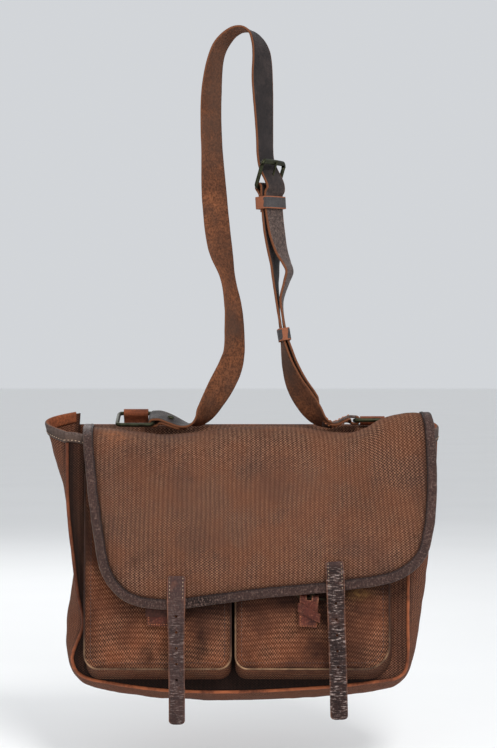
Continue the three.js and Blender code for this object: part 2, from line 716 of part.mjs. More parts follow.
function flapPoint(x, down) {
  const point = flapCurve.getPointAt(Math.min(Math.max(down / flapLength, 0), 1));
  const fade = 1 - smoothstep(down, topRun.fadeStart, topRun.fadeEnd);
  const dip = smoothstep(down, topRun.dipStart, topRun.dipFull) * fade;
  const lift = smoothstep(down, topRun.liftStart, topRun.liftFull) * fade;
  const sideways = smoothstep(Math.abs(x - sideFall.middle), sideFall.from, sideFall.to);
  const fall = sideFall.depth * sideways * smoothstep(down, sideFall.downFrom, sideFall.downTo);
  return vec(x, point.y + fall, point.z + (flapTopZ(x) - flatTop) * dip + flapLiftZ(x) * lift);
}

// The distance down the cloth at which the front of the flap reaches a height.
function flapDownAt(z) {
  let [low, high] = [flapSize.frontDown, flapLength];
  for (let k = 0; k < 40; k += 1) {
    const middle = (low + high) / 2;
    if (flapCurve.getPointAt(middle / flapLength).z > z) low = middle;
    else high = middle;
  }
  return low;
}

const edgePoints = [
  [flapSize.seamLeft, 0], [flapCorners.foldLeft, flapSize.foldDown],
  ...flapEdge.map((row) => [row.x, flapDownAt(row.z)]),
  [flapCorners.foldRight, flapSize.foldDown], [flapSize.seamRight, 0],
];
const edgeCurve = new THREE.CatmullRomCurve3(edgePoints.map(([x, down]) => vec(x, down, 0)));
const edgeParameter = (row) => row / (edgePoints.length - 1);
const cornerParameters = [0, edgeParameter(flapCorners.left + 2), edgeParameter(flapCorners.right + 2), 1];

// Even stations along one stretch of the free edge, set closer where the cloth folds over the mouth.
function edgeRun(from, to, cells) {
  const fine = count(flapCells.fine + 1, (k) => edgeCurve.getPoint(lerp(from, to, k / flapCells.fine)));
  const weight = (p) => flapCells.foldWeight * smoothstep(p.y, flapCells.foldFrom, flapCells.foldTo);
  const reach = [0];
  for (let k = 1; k < fine.length; k += 1) {
    const [here, before] = [fine[k], fine[k - 1]];
    reach.push(reach[k - 1] + here.distanceTo(before) + Math.abs(weight(here) - weight(before)));
  }
  return count(cells + 1, (cell) => {
    const wanted = (cell / cells) * reach[flapCells.fine];
    const k = Math.max(reach.findIndex((r) => r >= wanted - 1e-9), 0);
    return lerp(from, to, k / flapCells.fine);
  });
}

const edgeStations = [
  ...edgeRun(cornerParameters[0], cornerParameters[1], flapCells.side),
  ...edgeRun(cornerParameters[1], cornerParameters[2], flapCells.bottom).slice(1),
  ...edgeRun(cornerParameters[2], cornerParameters[3], flapCells.side).slice(1),
].map((t) => {
  const point = edgeCurve.getPoint(t);
  const along = edgeCurve.getTangent(t);
  const ends = t === 0 || t === 1;
  const inward = ends ? vec(t === 0 ? 1 : -1, 0, 0) : vec(along.y, -along.x, 0).normalize();
  return { edge: [point.x, point.y], inward: [inward.x, inward.y] };
});
const innerEdge = edgeStations.map(({ edge, inward }) => (
  [edge[0] + inward[0] * binding.width, edge[1] + inward[1] * binding.width]));
const flapFill = fillU(innerEdge, flapCells.side, flapCells.bottom);

// Index, within the filled part, of each node along its U.
const fillColumns = flapCells.bottom + 1;
const fillEdge = [
  ...count(flapCells.side + 1, (j) => j * fillColumns),
  ...count(flapCells.bottom - 1, (i) => flapCells.side * fillColumns + i + 1),
  ...count(flapCells.side + 1, (j) => (flapCells.side - j) * fillColumns + flapCells.bottom),
];
const edgeStart = flapFill.nodes.length;
const edgeCells = count(edgeStations.length - 1, (k) => (
  [edgeStart + k, fillEdge[k], fillEdge[k + 1], edgeStart + k + 1]));
const flapNodes = [...flapFill.nodes, ...edgeStations.map((station) => station.edge)];
const flapPatch = surfacePatch(flapNodes, [...flapFill.cells, ...edgeCells], flapPoint, 0.5);
const cover = new THREE.Group();
satchel.add(cover);
place(cover, 'flap', patchWall(flapPatch, flapSize.wall), 'flapCanvas');

const flapStations = edgeStations.map((_, k) => {
  const edge = flapPatch.points[edgeStart + k];
  const inner = flapPatch.points[fillEdge[k]];
  const edgeNormal = flapPatch.normals[edgeStart + k];
  const outward = edge.clone().sub(inner);
  outward.addScaledVector(edgeNormal, -outward.dot(edgeNormal)).normalize();
  return { edge, edgeNormal, inner, innerNormal: flapPatch.normals[fillEdge[k]], outward };
});
place(cover, 'flap_binding', foldedBinding(flapStations, flapSize.wall), 'darkLeather');

// Closure straps, sewn to the flap and hanging loose below it, with punched holes
for (const [side, rows] of Object.entries(closureRows)) {
  const bottom = rows[3].z;
  const flapY = (row) => flapPoint(row.x, flapDownAt(Math.max(row.z, bottom))).y;
  const line = new THREE.CatmullRomCurve3(rows.map((row) => vec(row.x, flapY(row) - row.off, row.z)));
  const stations = count(closure.steps + 1, (k) => {
    const at = k / closure.steps;
    const tangent = line.getTangent(at);
    const width = vec(1, 0, 0).addScaledVector(tangent, -tangent.x).normalize();
    const size = closure.width * (k === closure.steps ? closure.tip : 1);
    return { point: line.getPoint(at), width, normal: cross(tangent, width), size };
  });
  const holes = count(closureHoles.number, (k) => {
    const z = closureHoleStart[side] - k * closureHoles.pitch;
    const away = (station) => Math.abs(station.point.z - z);
    const near = stations.reduce((best, station) => (away(station) < away(best) ? station : best));
    return new THREE.CylinderGeometry(closureHoles.radius, closureHoles.radius, 20, 6)
      .translate(near.point.x, near.point.y, z);
  });
  const strap = cut(ribbon(stations, closure.leather), holes);
  place(cover, `closure_strap_${side}`, strap, 'darkLeather');
}

// Buckles on the pockets: a frame with its tongue, the tab that holds it and the tab's keeper
for (const [side, bar] of Object.entries(buckleBars)) {
  const group = new THREE.Group();
  body.add(group);
  const stack = 2 * buckleTab.leather;
  const face = pocketFrontPoint(pockets[side], bar.x, bar.z - buckleTab.tail).y - canvas.wall / 2;
  group.position.set(bar.x, face - gap - tabKeeper.leather - gap - stack / 2 - 1, bar.z);
  group.rotation.y = degToRad(bar.lean);

  const frame = wireLoop(
    pocketBuckle.innerX, pocketBuckle.innerZ, pocketBuckle.wire, pocketBuckle.corner, pocketBuckle.tongue);
  frame.translate(0, (pocketBuckle.innerZ + pocketBuckle.wire) / 2, 0).rotateX(Math.PI / 2);
  place(group, `pocket_buckle_${side}`, frame, 'brass');

  const tab = foldedTab(buckleTab.width, buckleTab.leather, pocketBuckle.wire, buckleTab.tail);
  const slot = new THREE.BoxGeometry(buckleTab.slot, 20, 8).translate(0, 0, 4 - buckleTab.slotDepth);
  place(group, `buckle_tab_${side}`, cut(tab, [slot]), 'redLeather');

  const band = bandLoop(buckleTab.width + 2 * gap, stack + 2 * gap, tabKeeper.leather, tabKeeper.height);
  place(group, `tab_keeper_${side}`, band, 'darkLeather').position.z = -0.5 * buckleTab.tail;
}

// Shoulder strap: rings, their tabs, the short strap, the long strap and the fastened buckle
const carrier = new THREE.Group();
satchel.add(carrier);

for (const side of ['left', 'right']) {
  const tilt = degToRad(ringTilt[side]);
  const run = ringTabRun[side];
  const group = new THREE.Group();
  carrier.add(group);
  group.position.set(...ringPlace[side]);
  group.rotation.x = tilt;
  place(group, `ring_${side}`, wireLoop(ring.innerX, ring.innerY, ring.wire, ring.corner), 'brass');
  const tab = foldedTab(ringTab.width, ringTab.leather, ring.wire, run.tail);
  const seat = place(group, `ring_tab_${side}`, tab, 'tanLeather');
  seat.position.set(side === 'left' ? -ringTab.shift : ringTab.shift, (ring.innerY + ring.wire) / 2, 0);
  seat.rotation.x = Math.PI / 2 - tilt - degToRad(run.slope);
}

// The row where a strap passes over its ring's wire, at one side of the ring, or a little way before it.
function ringRow(side, direction, before = 0) {
  const [x, y, z] = ringPlace[side];
  const reach = direction * ((ring.innerX + ring.wire) / 2 + before);
  const turn = 90 + ringTilt[side];
  const tilt = degToRad(ringTilt[side]);
  const [back, up] = [strapSize.wireGap * Math.sin(tilt), strapSize.wireGap * Math.cos(tilt)];
  return { x: x + reach, y: y - back, z: z + up, turn };
}

const shortPath = strapStations(
  [...shortRows, ringRow('right', -1, ringLead), ringRow('right', -1)], stepsPerRow);
const shortTop = foldedEnd(shortPath, -1, foldedLengths.buckle, foldedLengths.buckleRun);
const shortFoot = foldedEnd(shortPath, 1, foldedLengths.rightRing, foldedLengths.rightRun);

const tailPath = shortRows.slice(0, tailRowCount).map((row, k) => {
  const { point, normal } = shortPath[stepsPerRow * k];
  const spot = point.clone().addScaledVector(normal, row.tail);
  return { x: spot.x, y: spot.y, z: spot.z, turn: row.turn };
});
const longPath = strapStations(
  [ringRow('left', 1), ringRow('left', 1, ringLead), ...longRows, ...tailPath], stepsPerRow);
longPath[longPath.length - 1].size *= 0.5;
const longFoot = foldedEnd(longPath, -1, foldedLengths.leftRing, foldedLengths.leftRun);

// Frame and prong of the buckle, set on the bar inside the short strap's fold
const { bar, width: across, normal: outwards } = shortTop;
const reach = shortTop.tangent.clone().multiplyScalar(-strapBuckle.length)
  .addScaledVector(outwards, strapBuckle.rise).normalize();
const frameFace = cross(across, reach);
const frameOut = frameFace.clone().multiplyScalar(Math.sign(frameFace.dot(outwards)));
const frameLoop = wireLoop(strapBuckle.inner, strapBuckle.length, strapBuckle.wire, strapBuckle.corner);
const frame = place(carrier, 'strap_buckle', frameLoop, 'brass');
const frameMiddle = (strapBuckle.length + strapBuckle.wire) / 2;
orient(frame, across, reach, frameFace, bar.clone().addScaledVector(reach, frameMiddle));

const prongOff = strapBuckle.wire / 2 + prong.room + prong.radius;
const prongHook = count(6, (k) => {
  const angle = degToRad(-60 - k * 42);
  return [prongOff * Math.cos(angle), prongOff * Math.sin(angle)];
});
const prongRun = [0.25, 0.5, 0.75, 1.13].map((f) => [2 * frameMiddle * f, prongOff]);
const prongLine = [...prongHook, ...prongRun].map(([f, n]) => (
  bar.clone().addScaledVector(reach, f).addScaledVector(frameOut, n)));
place(carrier, 'buckle_prong', pipingAlong(prongLine, prong.radius, prong.steps), 'brass');
const prongWay = pipingAlong(prongLine, prong.radius + prong.clearance, prong.steps);

const slotTurn = new THREE.Matrix4()
  .makeBasis(shortTop.tangent, across, cross(shortTop.tangent, across)).setPosition(bar);
const { length: slotLength, width: slotWidth, depth: slotDepth } = prongSlotSize;
const prongSlot = new THREE.BoxGeometry(slotLength, slotWidth, slotDepth).applyMatrix4(slotTurn);
const shortStations = [...shortTop.stations, ...shortPath, ...shortFoot.stations];
place(carrier, 'strap_short', cut(ribbon(shortStations, strapSize.leather), [prongSlot]), 'strapLeather');

// The rivet through the two layers at the left ring
const start = longPath[0].point;
const rivetAt = longPath.find((station) => station.point.distanceTo(start) > rivet.fromRing);
const topFace = strapSize.leather / 2 + rivet.room;
const underFace = -strapSize.foldGap - strapSize.leather / 2 - rivet.room;
const rivetProfile = [
  [0, underFace - rivet.burr], [rivet.head * 0.8, underFace - rivet.burr], [rivet.head * 0.8, underFace],
  [rivet.shank, underFace], [rivet.shank, topFace], [rivet.head, topFace],
  [rivet.head * 0.75, topFace + rivet.dome * 0.7], [0, topFace + rivet.dome],
].map(([r, y]) => new THREE.Vector2(r, y));
const rivetMesh = place(carrier, 'strap_rivet', new THREE.LatheGeometry(rivetProfile, 12), 'brass');
orient(rivetMesh, rivetAt.tangent, rivetAt.normal, rivetAt.width.clone().negate(), rivetAt.point);
const rivetWay = new THREE.CylinderGeometry(rivet.hole, rivet.hole, 14, 12)
  .applyQuaternion(rivetMesh.quaternion).translate(...rivetAt.point.toArray());
const longStations = [...longFoot.stations, ...longPath];
const longStrap = cut(ribbon(longStations, strapSize.leather), [prongWay, rivetWay]);
place(carrier, 'strap_long', longStrap, 'strapLeather');

// Keepers round the short strap and the tail
for (const [name, row] of Object.entries(keeperRows)) {
  const station = shortPath[stepsPerRow * row];
  const low = -strapSize.leather / 2 - (name === 'upper' ? strapSize.foldGap : 0) - keeper.room;
  const high = shortRows[row].tail + strapSize.leather / 2 + keeper.room;
  const band = bandLoop(strapSize.width + keeper.room, high - low, keeper.leather, keeper.height);
  const mesh = place(carrier, `keeper_${name}`, band, 'tanLeather');
  const middle = station.point.clone().addScaledVector(station.normal, (low + high) / 2);
  orient(mesh, station.width, station.normal, cross(station.width, station.normal), middle);
}

export default satchel;
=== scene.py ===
import math

import bmesh
import bpy
import numpy as np
from mathutils import Matrix, Vector, noise


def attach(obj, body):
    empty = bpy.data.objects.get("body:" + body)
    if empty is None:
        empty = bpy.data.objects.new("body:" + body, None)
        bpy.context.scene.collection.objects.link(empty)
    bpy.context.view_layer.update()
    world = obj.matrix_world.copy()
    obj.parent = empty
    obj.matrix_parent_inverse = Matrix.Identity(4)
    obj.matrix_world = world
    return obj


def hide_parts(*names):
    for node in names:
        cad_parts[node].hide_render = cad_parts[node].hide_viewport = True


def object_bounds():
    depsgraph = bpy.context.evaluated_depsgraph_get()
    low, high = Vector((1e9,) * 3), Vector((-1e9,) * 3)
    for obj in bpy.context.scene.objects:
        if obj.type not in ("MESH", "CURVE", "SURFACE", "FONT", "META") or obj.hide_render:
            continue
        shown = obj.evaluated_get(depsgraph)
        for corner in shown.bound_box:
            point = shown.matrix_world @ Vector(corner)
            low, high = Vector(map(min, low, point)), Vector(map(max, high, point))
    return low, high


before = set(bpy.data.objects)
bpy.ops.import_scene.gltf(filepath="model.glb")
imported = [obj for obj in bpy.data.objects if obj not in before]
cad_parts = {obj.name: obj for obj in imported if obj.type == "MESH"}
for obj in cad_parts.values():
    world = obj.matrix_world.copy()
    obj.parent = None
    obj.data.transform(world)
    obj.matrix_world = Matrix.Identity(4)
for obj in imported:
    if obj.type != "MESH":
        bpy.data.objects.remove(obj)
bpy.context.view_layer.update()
print("frame loaded")

# Lengths are millimetres, in a frame whose zero lies this far above the hang point.
hangDrop = 2.8
mm = 0.001


def toScene(points):
    return (np.asarray(points, float) - [0, 0, hangDrop]) * mm


def table(columns, rows):
    return dict(zip(columns, np.array(rows, float).T))


# 0 at low and 1 at high, smooth between them; high may be the smaller of the two.
def smoothStep(x, low, high):
    f = np.clip((np.asarray(x, float) - low) / (high - low), 0, 1)
    return f * f * (3 - 2 * f)


# A soft spot: 1 in its middle, fading with distances that are given as shares of its reach.
def bell(*distances):
    return np.exp(-sum(distance**2 for distance in distances))


def unit(vectors):
    return vectors / np.maximum(np.linalg.norm(vectors, axis=-1, keepdims=True), 1e-12)


# Points in X and Z, stood up at a depth.
def upright(flat, y):
    return np.stack([flat[..., 0], np.broadcast_to(y, flat.shape[:-1]), flat[..., 1]], axis=-1)


# A smooth value read from a column, against the row number or a key column.
def reader(values, keys=None):
    values = np.asarray(values, float)
    keys = np.arange(len(values), dtype=float) if keys is None else np.asarray(keys, float)
    before = np.maximum(np.arange(len(values)) - 1, 0)
    after = np.minimum(np.arange(len(values)) + 1, len(values) - 1)
    slopes = (values[after] - values[before]) / (keys[after] - keys[before])

    def read(at):
        at = np.clip(np.asarray(at, float), keys[0], keys[-1])
        k = np.clip(np.searchsorted(keys, at, side="right") - 1, 0, len(values) - 2)
        span = keys[k + 1] - keys[k]
        f = (at - keys[k]) / span
        rise = values[k] * (2 * f**3 - 3 * f**2 + 1) + values[k + 1] * (3 * f**2 - 2 * f**3)
        return rise + span * (slopes[k] * (f**3 - 2 * f**2 + f) + slopes[k + 1] * (f**3 - f**2))

    return read


# A centripetal curve through points, read at row numbers.
def curveThrough(points):
    own = np.asarray(points, float)
    last = len(own) - 1
    p = np.vstack([2 * own[0] - own[1], own, 2 * own[-1] - own[-2]])
    step = np.maximum(np.linalg.norm(np.diff(p, axis=0), axis=1), 1e-6) ** 0.5

    def at(rows):
        rows = np.clip(np.atleast_1d(np.asarray(rows, float)), 0, last)
        k = np.minimum(rows.astype(int), last - 1)
        f = (rows - k)[:, None]
        a, b, c = (step[k + i][:, None] for i in range(3))
        x0, x1, x2, x3 = (p[k + i] for i in range(4))
        t1 = ((x1 - x0) / a - (x2 - x0) / (a + b) + (x2 - x1) / b) * b
        t2 = ((x2 - x1) / b - (x3 - x1) / (b + c) + (x3 - x2) / c) * b
        return x1 + t1 * f + (3 * (x2 - x1) - 2 * t1 - t2) * f**2 + (2 * (x1 - x2) + t1 + t2) * f**3

    return at


def reachAlong(points):
    return np.concatenate([[0], np.cumsum(np.linalg.norm(np.diff(points, axis=0), axis=1))])


# Points at even distances along a line of points.
def evenly(points, number):
    reach = reachAlong(points)
    at = np.linspace(0, reach[-1], number)
    return np.stack([np.interp(at, reach, column) for column in points.T], axis=1)


# Runs of points joined end to end, each cut into its own number of even cells.
def joinRuns(runs, cells):
    parts = [evenly(run, number + 1) for run, number in zip(runs, cells)]
    return np.vstack(parts[:1] + [part[1:] for part in parts[1:]])


# Smooth noise at points; size is the width of its lumps.
def lumps(points, size, seed):
    flat = np.asarray(points, float).reshape(-1, 3) / size + seed * 17.3
    return np.array([noise.noise(Vector(p)) for p in flat]).reshape(points.shape[:-1])


def gridNormals(grid):
    return unit(np.cross(np.gradient(grid, axis=1), np.gradient(grid, axis=0)))


# Fills a U-shaped outline, open at the top, with a grid of points: rows run down, columns across.
def fillU(outline, sideCells, bottomCells):
    left, right = outline[: sideCells + 1], outline[sideCells + bottomCells :][::-1]
    bottom = outline[sideCells : sideCells + bottomCells + 1]
    f = np.linspace(0, 1, bottomCells + 1)[None, :, None]
    g = np.linspace(0, 1, sideCells + 1)[:, None, None]
    sides = left[:, None] * (1 - f) + right[:, None] * f
    return sides + (bottom - sides[-1]) * g


def linked(name, data):
    thing = bpy.data.objects.new(name, data)
    bpy.context.collection.objects.link(thing)
    return thing


def addValue(mesh, name, column):
    layer = mesh.attributes.new(name, "FLOAT", "POINT")
    layer.data.foreach_set("value", np.asarray(column, np.float32).ravel())


def vertexColumn(mesh, name="co"):
    column = np.zeros(len(mesh.vertices) * 3)
    mesh.vertices.foreach_get(name, column)
    return column.reshape(-1, 3)


def moveVertices(mesh, spots):
    mesh.vertices.foreach_set("co", spots.ravel())
    mesh.update()


def meshObject(name, points, faces, cornerUv, values):
    spots = toScene(points)
    a, b, c = (spots[[face[k] for face in faces]] - spots.mean(0) for k in range(3))
    if np.einsum("ij,ij->i", a, np.cross(b, c)).sum() < 0:  # The faces look inward.
        faces, cornerUv = [face[::-1] for face in faces], [uv[::-1] for uv in cornerUv]
    mesh = bpy.data.meshes.new(name)
    mesh.from_pydata(spots.tolist(), [], faces)
    corners = np.array([corner for uv in cornerUv for corner in uv], np.float32)
    mesh.uv_layers.new(name="cloth").data.foreach_set("uv", corners.ravel() * mm)
    for key, column in values.items():
        addValue(mesh, key, column)
    mesh.shade_smooth()
    mesh.update()
    return linked(name, mesh)


# A wall of cloth: two copies of a grid, a wall apart, joined round the rim.
def wallObject(name, grid, wall, uv, values):
    total = grid.shape[0] * grid.shape[1]
    lift = gridNormals(grid) * wall / 2
    points = np.concatenate([(grid + lift).reshape(-1, 3), (grid - lift).reshape(-1, 3)])
    at = np.arange(total).reshape(grid.shape[:2])
    quads = np.stack([at[:-1, :-1], at[:-1, 1:], at[1:, 1:], at[1:, :-1]], axis=-1).reshape(-1, 4)
    rim = np.concatenate([at[0, :-1], at[:-1, -1], at[-1, :0:-1], at[:0:-1, 0]])
    onward = np.roll(rim, -1)
    rimQuads = np.stack([rim, onward, onward + total, rim + total], axis=1)
    faces = np.concatenate([quads[:, ::-1], quads + total, rimQuads])
    flatUv = np.tile(uv.reshape(-1, 2), (2, 1))
    values = {key: np.tile(np.ravel(column), 2) for key, column in values.items()}
    return meshObject(name, points, faces.tolist(), flatUv[faces].tolist(), values)


# Closed sections in a row, joined and capped. Along and across are the distances of the cloth map.
def sweepObject(name, sections, along, across, values):
    steps, size = sections.shape[:2]
    faces, uvs = [], []
    for i in range(steps - 1):
        for j in range(size):
            k = (j + 1) % size
            faces.append([i * size + j, i * size + k, (i + 1) * size + k, (i + 1) * size + j])
            uvs.append([(along[i], across[j]), (along[i], across[j + 1]),
                        (along[i + 1], across[j + 1]), (along[i + 1], across[j])])
    for i, order in ((0, range(size - 1, -1, -1)), (steps - 1, range(size))):
        faces.append([i * size + j for j in order])
        uvs.append([(along[i], across[j]) for j in order])
    return meshObject(name, sections.reshape(-1, 3), faces, uvs, values)


# Turns an object with modifiers into one with a plain mesh.
def plain(thing):
    bpy.context.view_layer.update()
    done = thing.evaluated_get(bpy.context.evaluated_depsgraph_get())
    mesh = bpy.data.meshes.new_from_object(done)
    thing.modifiers.clear()
    thing.data = mesh
    mesh.shade_smooth()
    return thing


# A finer copy of a CAD node: quads, edges sharper than 35 degrees held by a crease, subdivided.
def finerCopy(node, name, levels, crease):
    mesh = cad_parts[node].data.copy()
    work = bmesh.new()
    work.from_mesh(mesh)
    bmesh.ops.remove_doubles(work, verts=work.verts, dist=1e-6)
    bmesh.ops.join_triangles(work, faces=work.faces, angle_face_threshold=0.6, angle_shape_threshold=0.8)
    held = work.edges.layers.float.new("crease_edge")
    for edge in work.edges:
        if len(edge.link_faces) == 2 and edge.calc_face_angle() > math.radians(35):
            edge[held] = crease
    work.to_mesh(mesh)
    work.free()
    mesh.materials.clear()
    thing = linked(name, mesh)
    finer = thing.modifiers.new("finer", "SUBSURF")
    finer.levels = finer.render_levels = levels
    return plain(thing)


# How far each point stands proud of its neighbours: what rubs first, as a value for the finishes.
def addWear(mesh, reach):
    points, normals = vertexColumn(mesh), vertexColumn(mesh, "normal")
    ends = np.zeros(len(mesh.edges) * 2, int)
    mesh.edges.foreach_get("vertices", ends)
    a, b = ends.reshape(-1, 2).T

    def fromNeighbours(columnA, columnB):
        found = np.zeros((len(points), *columnA.shape[1:]))
        np.add.at(found, a, columnB)
        np.add.at(found, b, columnA)
        return found

    span = np.linalg.norm(points[a] - points[b], axis=1)
    touch = fromNeighbours(np.ones(len(a)), np.ones(len(b)))
    length = fromNeighbours(span, span)
    pull = points - fromNeighbours(points[a], points[b]) / touch[:, None]
    wear = np.clip(np.einsum("ij,ij->i", pull, normals) / (length / touch) ** 2 * reach * mm, 0, 1)
    for _ in range(2):
        wear = (wear + fromNeighbours(wear[a], wear[b]) / touch) / 2
    addValue(mesh, "wear", wear)


# Joins a finished piece to the frame.
def finishPiece(thing, finish, nodes, wearReach=0.0):
    thing.data.materials.clear()
    thing.data.materials.append(finish)
    if wearReach:
        addWear(thing.data, wearReach)
    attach(thing, "root")
    if nodes:
        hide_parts(*nodes)
    return thing


# Node trees for the finishes
def addNode(tree, kind, inputs=None, **settings):
    node = tree.nodes.new(kind)
    for key, value in settings.items():
        setattr(node, key, value)
    for key, value in (inputs or {}).items():
        value = getattr(value, "socket", value)
        if isinstance(value, bpy.types.NodeSocket):
            tree.links.new(value, node.inputs[key])
        else:
            node.inputs[key].default_value = value
    return node


def colour(r, g, b):
    linear = [((c / 255 + 0.055) / 1.055) ** 2.4 if c > 10 else c / 255 / 12.92 for c in (r, g, b)]
    return (*linear, 1.0)


# What a node gives, written in sums as numbers are: each step of a sum is one more node.
class Field:
    def __init__(self, tree, kind, inputs=None, output=0, **settings):
        self.tree = tree
        self.socket = addNode(tree, kind, inputs, **settings).outputs[output]

    def step(self, operation, a, b=0.0):
        return Field(self.tree, "ShaderNodeMath", {0: a, 1: b}, operation=operation)

    def __add__(self, other):
        return self.step("ADD", self, other)

    def __sub__(self, other):
        return self.step("SUBTRACT", self, other)

    def __rsub__(self, other):
        return self.step("SUBTRACT", other, self)

    def __mul__(self, other):
        return self.step("MULTIPLY", self, other)

    def wave(self):
        return self.step("SINE", self)

    def ramp(self, low, high):
        inputs = {0: self, 1: low, 2: high}
        return Field(self.tree, "ShaderNodeMapRange", inputs, interpolation_type="SMOOTHSTEP")


# A finish as it is built. Tones are red, green and blue out of 255.
class Finish:
    def __init__(self, name, fixed):
        self.material = bpy.data.materials.new(name)
        self.material.use_nodes = True
        self.tree = self.material.node_tree
        self.shader = self.tree.nodes["Principled BSDF"]
        for key, value in fixed.items():
            self.shader.inputs[key].default_value = value
        self.where = self.field("ShaderNodeTexCoord", output="Object")

    def field(self, kind, inputs=None, output=0, **settings):
        return Field(self.tree, kind, inputs, output, **settings)

    def clothMap(self):
        return self.field("ShaderNodeUVMap", uv_map="cloth")

    def value(self, name):
        return self.field("ShaderNodeAttribute", output="Fac", attribute_name=name)

    def cloud(self, scale, detail=3.0, rough=0.55, where=None, twist=0.0):
        inputs = {"Vector": where or self.where, "Scale": scale, "Detail": detail, "Roughness": rough,
                  "Distortion": twist}
        return self.field("ShaderNodeTexNoise", inputs, "Fac")

    def cells(self, scale, gap):
        inputs = {"Vector": self.where, "Scale": scale}
        edges = self.field("ShaderNodeTexVoronoi", inputs, "Distance", feature="DISTANCE_TO_EDGE")
        return edges.ramp(0.0, gap)

    # Lays coats over a ground, each by its share. Both may be tones or fields.
    def coats(self, ground, *coats):
        for share, coat in coats:
            a, b = (tone if isinstance(tone, Field) else colour(*tone) for tone in (ground, coat))
            ground = self.field("ShaderNodeMix", {0: share, 6: a, 7: b}, 2, data_type="RGBA")
        return ground

    def done(self, ground, relief, strength, height, roughness=None):
        inputs = {"Strength": strength, "Distance": height * mm, "Height": relief}
        bump = self.field("ShaderNodeBump", inputs)
        for key, field in {"Base Color": ground, "Normal": bump, "Roughness": roughness}.items():
            if field:
                self.tree.links.new(field.socket, self.shader.inputs[key])
        return self.material


# Ribbed canvas on the piece's own cloth map: ribs run along the map's second axis.
def canvasFinish(name, look):
    own = Finish(name, {"Roughness": 0.92, "Specular IOR Level": 0.12})
    cloth = own.clothMap()
    across, along = (own.field("ShaderNodeSeparateXYZ", {0: cloth}, axis) for axis in (0, 1))
    drift = (own.cloud(14, 2, where=cloth) - 0.5) * (look["ribDrift"] * mm)
    ribWay = (across + drift) * (2 * math.pi / (look["ribPitch"] * mm))
    rib = ribWay.wave() * 0.5 + 0.5
    # Fine warp and weft under the ribs, thinned and thickened along each yarn.
    slub = own.cloud(300, 2) * 2.5
    warp = (ribWay * look["warpShare"] + slub).wave()
    weft = (along * (2 * math.pi / (look["yarnPitch"] * mm)) + slub).wave()
    weave = (warp * weft).ramp(-0.3, 0.3)
    fleck = own.cloud(300, 2, 0.8).ramp(0.42, 0.62)
    slack = own.cloud(380, 2, 0.8).ramp(0.5, 0.64)
    mottle = own.cloud(30, 4).ramp(0.36, 0.64)
    patch = own.cloud(look["patchScale"], 3).ramp(0.36, 0.68)
    stain = own.cloud(look["stainScale"], 4, 0.62).ramp(look["stainFrom"], look["stainFrom"] + 0.16)
    ribWorn = own.cloud(22, 3).ramp(0.25, 0.6)
    ground = own.coats(
        look["base"], (patch, look["faded"]), (fleck * 0.38, look["fleck"]),
        ((1.0 - rib) * look["ribDepth"] * (ribWorn * 0.6 + 0.4), look["groove"]),
        ((1.0 - weave) * (rib * 0.4 + 0.25), look["fleck"]),
        (weave * look["weaveDepth"], look["groove"]), (slack * 0.42, look["groove"]),
        # Old wear lies over the weave: warm patches and darker, greyer stains.
        (mottle * 0.32, look["warm"]), (stain * look["stainDepth"], look["stain"]),
        # A few spots are rubbed to the bare yarn, and a dark coat lays soil where pieces are sewn in and
        # painted shade in recesses and under overhanging parts.
        (own.value("rubbed") * (fleck * 0.6 + 0.3), look["bare"]),
        (own.value("soilAndShade") * look["soilAndShadeDepth"], look["soilAndShade"]))
    return own.done(ground, rib * look["ribRise"] + weave * 0.35 + fleck * 0.25, 0.9, 0.7)


# Grained leather, rubbed paler where it stands proud.
def leatherFinish(name, look):
    own = Finish(name, {"Roughness": look["roughness"], "Specular IOR Level": look["gloss"]})
    grain = own.cells(look["grainScale"], 0.12)
    fine = own.cloud(700, 3, 0.7)
    mottle = own.cloud(look["mottleScale"], 4).ramp(0.32, 0.7)
    scuff = own.cloud(look["scuffScale"], 5, 0.7).ramp(look["scuffFrom"], look["scuffFrom"] + 0.12)
    edge = own.value("wear") * own.cloud(60, 4, 0.7).ramp(0.28, 0.62)
    # Pale specks: worn grain, and on the binding and closure leathers painted glints of gloss as well.
    speck = own.cloud(430, 2, 0.8).ramp(0.53, 0.66)
    ground = own.coats(
        look["base"], (mottle, look["second"]), ((1.0 - grain) * 0.45, look["pit"]),
        (scuff * look["scuffDepth"], look["scuff"]), (speck * look["speckDepth"], look["speck"]))
    relief = fine * 0.5 + grain * 0.5
    if "ridge" in look:
        # Wrinkles lie across the piece's length, with painted shade in their folds and a painted highlight
        # on their ridges.
        inputs = {0: own.clothMap(), 1: (1.0, look["foldStretch"], 1.0)}
        folds = own.field("ShaderNodeVectorMath", inputs, operation="MULTIPLY")
        fold = own.cloud(look["foldScale"], 3.0, 0.65, folds, 0.4)
        ridge, creases = fold.ramp(0.4, 0.62), own.value("creases")
        ridgeHighlight = (fold * (fine * 0.7 + 0.6)).ramp(0.5, 0.68) * look["ridgeHighlightDepth"]
        ground = own.coats(ground, (creases * (0.8 - ridge), look["pit"]),
                           (creases * ridgeHighlight, look["ridge"]))
        relief = creases * ridge * 1.6 + relief
    # Groove paints a thin line of shade along a binding's lips, where it meets the cloth.
    ground = own.coats(ground, (edge * look["edgeDepth"], look["edge"]),
                       (own.value("groove") * 0.9, look["pit"]))
    shine = scuff * 0.12 + (fine * 0.3 + (look["roughness"] - 0.15))
    return own.done(ground, relief, look["bump"], 0.6, shine)


